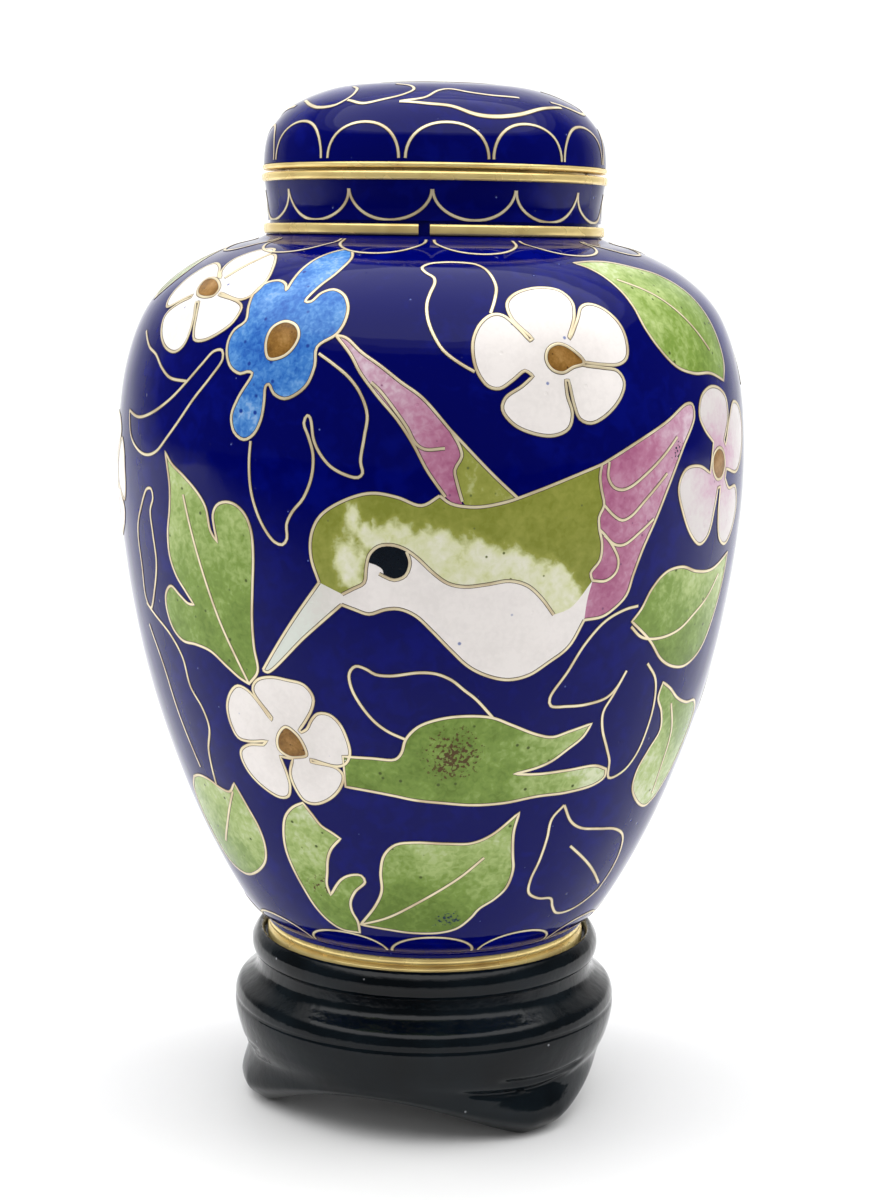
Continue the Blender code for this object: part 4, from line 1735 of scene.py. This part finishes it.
    low_outline: Tendril = Tendril(26.0, 34.0, (
        ((1.9, 2.6), (0.9, 1.2), (0.9, -1.1), (0.7, -3.9), (0.3, -6.4), (0.6, -8.3), (2.2, -9.4),
         (4.1, -9.8), (4.9, -11.2), (6.2, -12.6), (8.4, -12.8), (11.0, -11.9), (13.0, -10.6)),
        ((1.9, 2.6), (3.2, 0.6), (4.7, -0.4), (7.4, -1.0), (10.2, -1.6), (12.4, -2.9), (13.6, -5.2),
         (13.8, -8.0), (13.0, -10.6)),
        ((4.1, -2.5), (8.2, -5.8), (12.2, -9.4))))
    left_outline: Tendril = Tendril(-60.0, 79.0, (
        ((-4.3, 1.6), (-1.7, 0.1), (0.5, -0.6), (2.4, -1.8), (4.2, -2.6), (7.1, -2.8)),
        ((-4.3, -6.2), (-1.4, -6.6), (1.6, -6.0), (4.8, -4.5), (7.0, -2.8), (8.7, -1.1),
         (10.0, 0.2), (11.0, 0.3), (11.3, -0.5), (10.2, -2.2), (8.2, -4.4), (6.4, -6.4),
         (4.8, -7.9), (2.9, -9.4), (1.0, -9.9), (-1.2, -9.6), (-3.4, -8.4), (-4.3, -6.2))))
    left_stalk: Tendril = Tendril(-63.0, 60.0, (
        ((1.6, 4.5), (2.6, 5.6), (3.6, 5.7), (3.9, 4.9), (3.2, 3.6), (3.4, 1.3), (3.5, -1.4),
         (2.3, -4.2), (0.4, -6.5), (-0.6, -5.6), (-0.4, -2.3), (-0.3, 1.5), (1.6, 4.5)),
        ((-0.6, -6.1), (1.0, -6.9), (4.3, -8.7), (6.0, -10.9), (6.4, -14.0), (7.8, -16.2),
         (8.2, -18.4), (6.8, -21.4), (6.2, -24.4), (6.0, -26.3)),
        ((-1.0, -8.4), (0.9, -12.5), (1.9, -18.2), (3.3, -24.4))))
    plain_figures: tuple[Flower | Leaf | Tendril, ...] = (
        back_flower(-81.0, 66.0, 6.2, Enamel.WHITE, 10.0),
        back_flower(150.0, 78.0, 7.0, Enamel.WHITE, 20.0),
        back_flower(-152.0, 66.0, 7.6, Enamel.SKY, 0.0),
        back_flower(176.0, 46.0, 7.0, Enamel.WHITE, 40.0),
        back_flower(104.0, 60.0, 7.2, Enamel.SKY, 15.0),
        back_flower(-112.0, 46.0, 6.4, Enamel.WHITE, 55.0),
        back_leaf(131.0, 65.0, 11.0, 6.0, 215.0, 2.0),
        back_leaf(168.0, 66.0, 16.0, 8.0, 300.0, -2.0),
        back_leaf(-130.0, 72.0, 14.0, 7.0, 40.0, 2.0),
        back_leaf(-136.0, 54.0, 15.0, 7.0, 285.0, 2.5),
        back_leaf(152.0, 42.0, 14.0, 7.0, 190.0, -2.5),
        back_leaf(-160.0, 40.0, 13.0, 6.5, 330.0, 2.0),
        back_leaf(-76.5, 83.5, 11.0, 5.2, 95.0, 2.0),
        back_leaf(-92.0, 54.0, 14.0, 7.0, 250.0, -2.0),
        back_leaf(86.0, 48.0, 13.0, 6.5, 280.0, 2.0),
        back_leaf(112.0, 40.0, 12.0, 6.0, 230.0, -1.5),
        back_leaf(180.0, 88.0, 11.0, 6.0, 250.0, 1.5, bare=True),
        back_leaf(106.0, 82.0, 13.0, 6.0, 200.0, 2.0, bare=True),
        back_leaf(-170.0, 56.0, 12.0, 6.0, 120.0, -2.0, bare=True),
        back_leaf(-118.0, 62.0, 12.0, 5.5, 170.0, 2.0, bare=True),
        back_leaf(128.0, 54.0, 12.0, 6.0, 20.0, 2.0, bare=True),
        back_leaf(-130.0, 29.0, 10.0, 5.0, 80.0, 1.5, bare=True),
        back_leaf(170.0, 32.0, 11.0, 5.5, 200.0, 1.5, bare=True),
    )

    def lay(self, inlay: Inlay, skin: Skin) -> None:
        """Lay every figure.

        Args:
            inlay: what takes the wires and cells.
            skin: the outside that they lie on.
        """
        for item in fields(self):
            value = getattr(self, item.name)
            for figure in value if isinstance(value, tuple) else (value,):
                figure.lay(inlay, skin)
                LOG.info("%s at %.0f degrees, %.0f mm up", item.name, figure.angle, figure.height)


@dataclass
class LidTop:
    """Leaves in bare wire and a flower on the dome's crown."""

    front_leaf: Run = ((-3.4, -14.3), (-1.0, -14.0), (0.2, -12.6), (1.2, -12.0), (3.2, -12.4),
                       (5.4, -12.2), (8.0, -11.0))
    front_leaf_low: Run = ((-3.4, -14.3), (-0.8, -14.9), (1.5, -15.1), (3.7, -15.4), (5.8, -14.9),
                           (8.2, -13.4), (10.6, -10.6), (12.2, -8.4))
    left_leaf: Run = ((-12.8, -5.8), (-12.2, -8.4), (-11.2, -10.3), (-9.4, -11.6), (-8.2, -11.2),
                      (-7.6, -9.4), (-8.0, -7.6))
    left_leaf_tip: Run = ((-8.4, -11.7), (-6.9, -13.2), (-5.1, -13.5), (-3.2, -13.2), (-2.1, -12.2),
                          (-2.4, -10.9), (-3.8, -9.6))

    turns: tuple[float, ...] = (0.0, 118.0, 236.0)
    flower_turn: float = 10.0
    petals: tuple[Run, ...] = round_petals(5, 7.0, 6.6, 18.0)
    heart: Run = round_heart(1.6)
    group: str = "lid_top"

    def lay(self, inlay: Inlay, skin: Skin) -> None:
        """Lay the crown's wires and cells.

        Args:
            inlay: what takes the wires and cells.
            skin: the outside that they lie on.
        """
        lines = (self.front_leaf, self.front_leaf_low, self.left_leaf, self.left_leaf_tip)
        for turn in self.turns:
            inlay.wires(self.group, TopChart(skin, turn, 0.0), [(smooth(line), False) for line in lines])
        chart = TopChart(skin, self.flower_turn, 0.0)
        for petal in self.petals:
            inlay.outlined(self.group, chart, chain(petal), Enamel.WHITE,
                           spot_tint((0.0, 0.0), 6.0, 0.9, 0.05))
        inlay.outlined(self.group, chart, smooth(self.heart, True, 0.3), Enamel.BROWN, flat_tint(0.5))


# The studio


@dataclass(frozen=True)
class Lamp:
    """A soft oval light: its place, size and target in metres, and its power in watts."""

    name: str
    place: Place
    size: Point
    power: float
    target: Place = (0.0, 0.0, 0.06)
    mirrored: bool = True

    def hang(self) -> None:
        """Hang the light so that it faces its target; only a mirrored one shows in the gloss."""
        lamp = bpy.data.lights.new(self.name, "AREA")
        lamp.shape = "ELLIPSE"
        lamp.size, lamp.size_y = self.size
        lamp.energy = self.power
        holder = bpy.data.objects.new(self.name, lamp)
        holder.location = self.place
        holder.visible_glossy = self.mirrored
        towards = Vector(self.target) - Vector(self.place)
        holder.rotation_euler = towards.to_track_quat("-Z", "Y").to_euler()
        bpy.context.scene.collection.objects.link(holder)


def set_stage(name: str, mesh: bmesh.types.BMesh, finish: bpy.types.Material) -> None:
    """Turn a bmesh into a part of the room, which is no part of the urn.

    Args:
        name: the object's name.
        mesh: the bmesh, which is freed.
        finish: its material.
    """
    data = bpy.data.meshes.new(name)
    mesh.to_mesh(data)
    mesh.free()
    data.shade_smooth()
    data.materials.append(finish)
    sheet = bpy.data.objects.new(name, data)
    bpy.context.scene.collection.objects.link(sheet)


@dataclass
class Studio:
    """A pale floor, a dark table, soft white light and the photograph's point of view.

    Lengths are in metres, the camera's angles in degrees and its lens in millimetres.
    """

    distance: float = 0.2367
    axis_x: float = 0.0007
    eye_height: float = 0.0896
    pitch: float = 8.888
    roll: float = 0.794
    lens: float = 69.0
    sensor: float = 36.0
    floor_front: float = 0.07
    floor_shades: tuple[Colour, ...] = (srgb(217, 217, 217), srgb(225, 225, 225))
    table_front: float = 2.0
    table_dark_to: float = 0.42
    table_drop: float = 0.0005
    table_shades: tuple[Colour, ...] = (srgb(38, 38, 42), srgb(60, 60, 64), srgb(110, 110, 114),
                                        srgb(212, 212, 212))
    sweep_behind: float = 0.7
    sweep_bend: float = 0.5
    sweep_rise: float = 1.8
    half_width: float = 2.2
    room_glow: float = 0.14
    lamps: tuple[Lamp, ...] = (
        Lamp("left_box", (-0.95, 0.1, 0.45), (1.0, 0.9), 5.5, mirrored=False),
        Lamp("right_box", (0.95, 0.15, 0.45), (1.0, 0.9), 5.5, mirrored=False),
        Lamp("top_box", (0.0, -0.25, 0.95), (1.9, 1.45), 10.2, (0.0, -0.25, 0.0)),
        Lamp("top_edge", (0.0, -0.25, 0.96), (2.2, 1.8), 6.0, (0.0, -0.25, 0.0)),
        Lamp("top_fringe", (0.0, -0.25, 0.97), (2.6, 2.15), 6.0, (0.0, -0.25, 0.0)),
        Lamp("front_fill", (0.0, -0.9, 0.25), (0.9, 0.6), 1.95, mirrored=False),
        Lamp("wall_box", (0.0, 0.3, 1.3), (2.4, 0.5), 14.0, (0.0, 1.2, 0.7), mirrored=False),
    )

    def floor(self) -> None:
        """Lay the floor, swept up into a pale wall behind."""
        mesh = bmesh.new()
        turns = [math.radians(step * 10.0) for step in range(10)]
        bend = self.sweep_bend
        profile = [(-self.floor_front, 0.0)]
        profile += [(self.sweep_behind + bend * math.sin(turn), bend - bend * math.cos(turn))
                    for turn in turns]
        profile.append((self.sweep_behind + bend, self.sweep_rise))
        corners = [mesh.verts.new((-self.half_width, along, height)) for along, height in profile]
        edges = [mesh.edges.new(pair) for pair in zip(corners, corners[1:])]
        drawn = bmesh.ops.extrude_edge_only(mesh, edges=edges)["geom"]
        bmesh.ops.translate(mesh, verts=[item for item in drawn if isinstance(item, bmesh.types.BMVert)],
                            vec=(2.0 * self.half_width, 0.0, 0.0))
        board = NodeBoard("pale_floor", Roughness=0.6)
        cloud = board.noise(400.0, 2.0)
        board.feed(board.shader.inputs["Base Color"], board.ramp(cloud, self.floor_shades))
        set_stage("floor", mesh, board.material)

    def table(self) -> None:
        """Lay a dark table in front of the pale floor, past the foot of the picture."""
        mesh = bmesh.new()
        half = self.half_width
        corners = [(-half, -self.table_front), (half, -self.table_front), (half, -self.floor_front),
                   (-half, -self.floor_front)]
        mesh.faces.new([mesh.verts.new((*corner, -self.table_drop)) for corner in corners])
        board = NodeBoard("dark_table_top", Roughness=0.8)
        apart = board.add("ShaderNodeSeparateXYZ")
        board.feed(apart.inputs[0], board.place)
        near = board.span(apart.outputs["Y"], -self.table_dark_to, -self.floor_front)
        board.feed(board.shader.inputs["Base Color"], board.ramp(near, self.table_shades))
        set_stage("dark_table", mesh, board.material)

    def room(self) -> None:
        """Light the room faintly from all round, and show its colours as they are."""
        world = bpy.data.worlds.new("soft_room")
        world.use_nodes = True
        glow = world.node_tree.nodes["Background"]
        glow.inputs["Color"].default_value = (1.0, 1.0, 1.0, 1.0)
        glow.inputs["Strength"].default_value = self.room_glow
        bpy.context.scene.world = world
        bpy.context.scene.view_settings.view_transform = "Standard"

    def camera(self) -> None:
        """Set the camera where the photograph was taken from."""
        lens = bpy.data.cameras.new("camera")
        lens.lens = self.lens
        lens.sensor_width = self.sensor
        lens.clip_start = 0.01
        holder = bpy.data.objects.new("camera", lens)
        turn = Matrix.Rotation(math.radians(90.0 - self.pitch), 4, "X")
        turn = turn @ Matrix.Rotation(math.radians(self.roll), 4, "Z")
        holder.matrix_world = Matrix.Translation((self.axis_x, -self.distance, self.eye_height)) @ turn
        bpy.context.scene.collection.objects.link(holder)
        bpy.context.scene.camera = holder

    def build(self) -> None:
        """Set the floor, the table, the room, the lights and the camera."""
        self.floor()
        self.table()
        self.room()
        for lamp in self.lamps:
            lamp.hang()
        self.camera()


def main() -> None:
    """Build the urn piece by piece, then the studio round it."""
    logging.basicConfig(level=logging.INFO, format="%(name)s %(message)s")
    vase, lid = Vase(), Lid()
    vase.build()
    lid.build()
    Rims().build()
    Stand().build()
    inlay = Inlay()
    Hummingbird().lay(inlay, vase.body_skin())
    Garden().lay(inlay, vase.body_skin())
    for border in borders(vase, lid):
        border.lay(inlay)
    LidTop().lay(inlay, lid.skin())
    inlay.build()
    Studio().build()


if __name__ == "__main__":
    main()
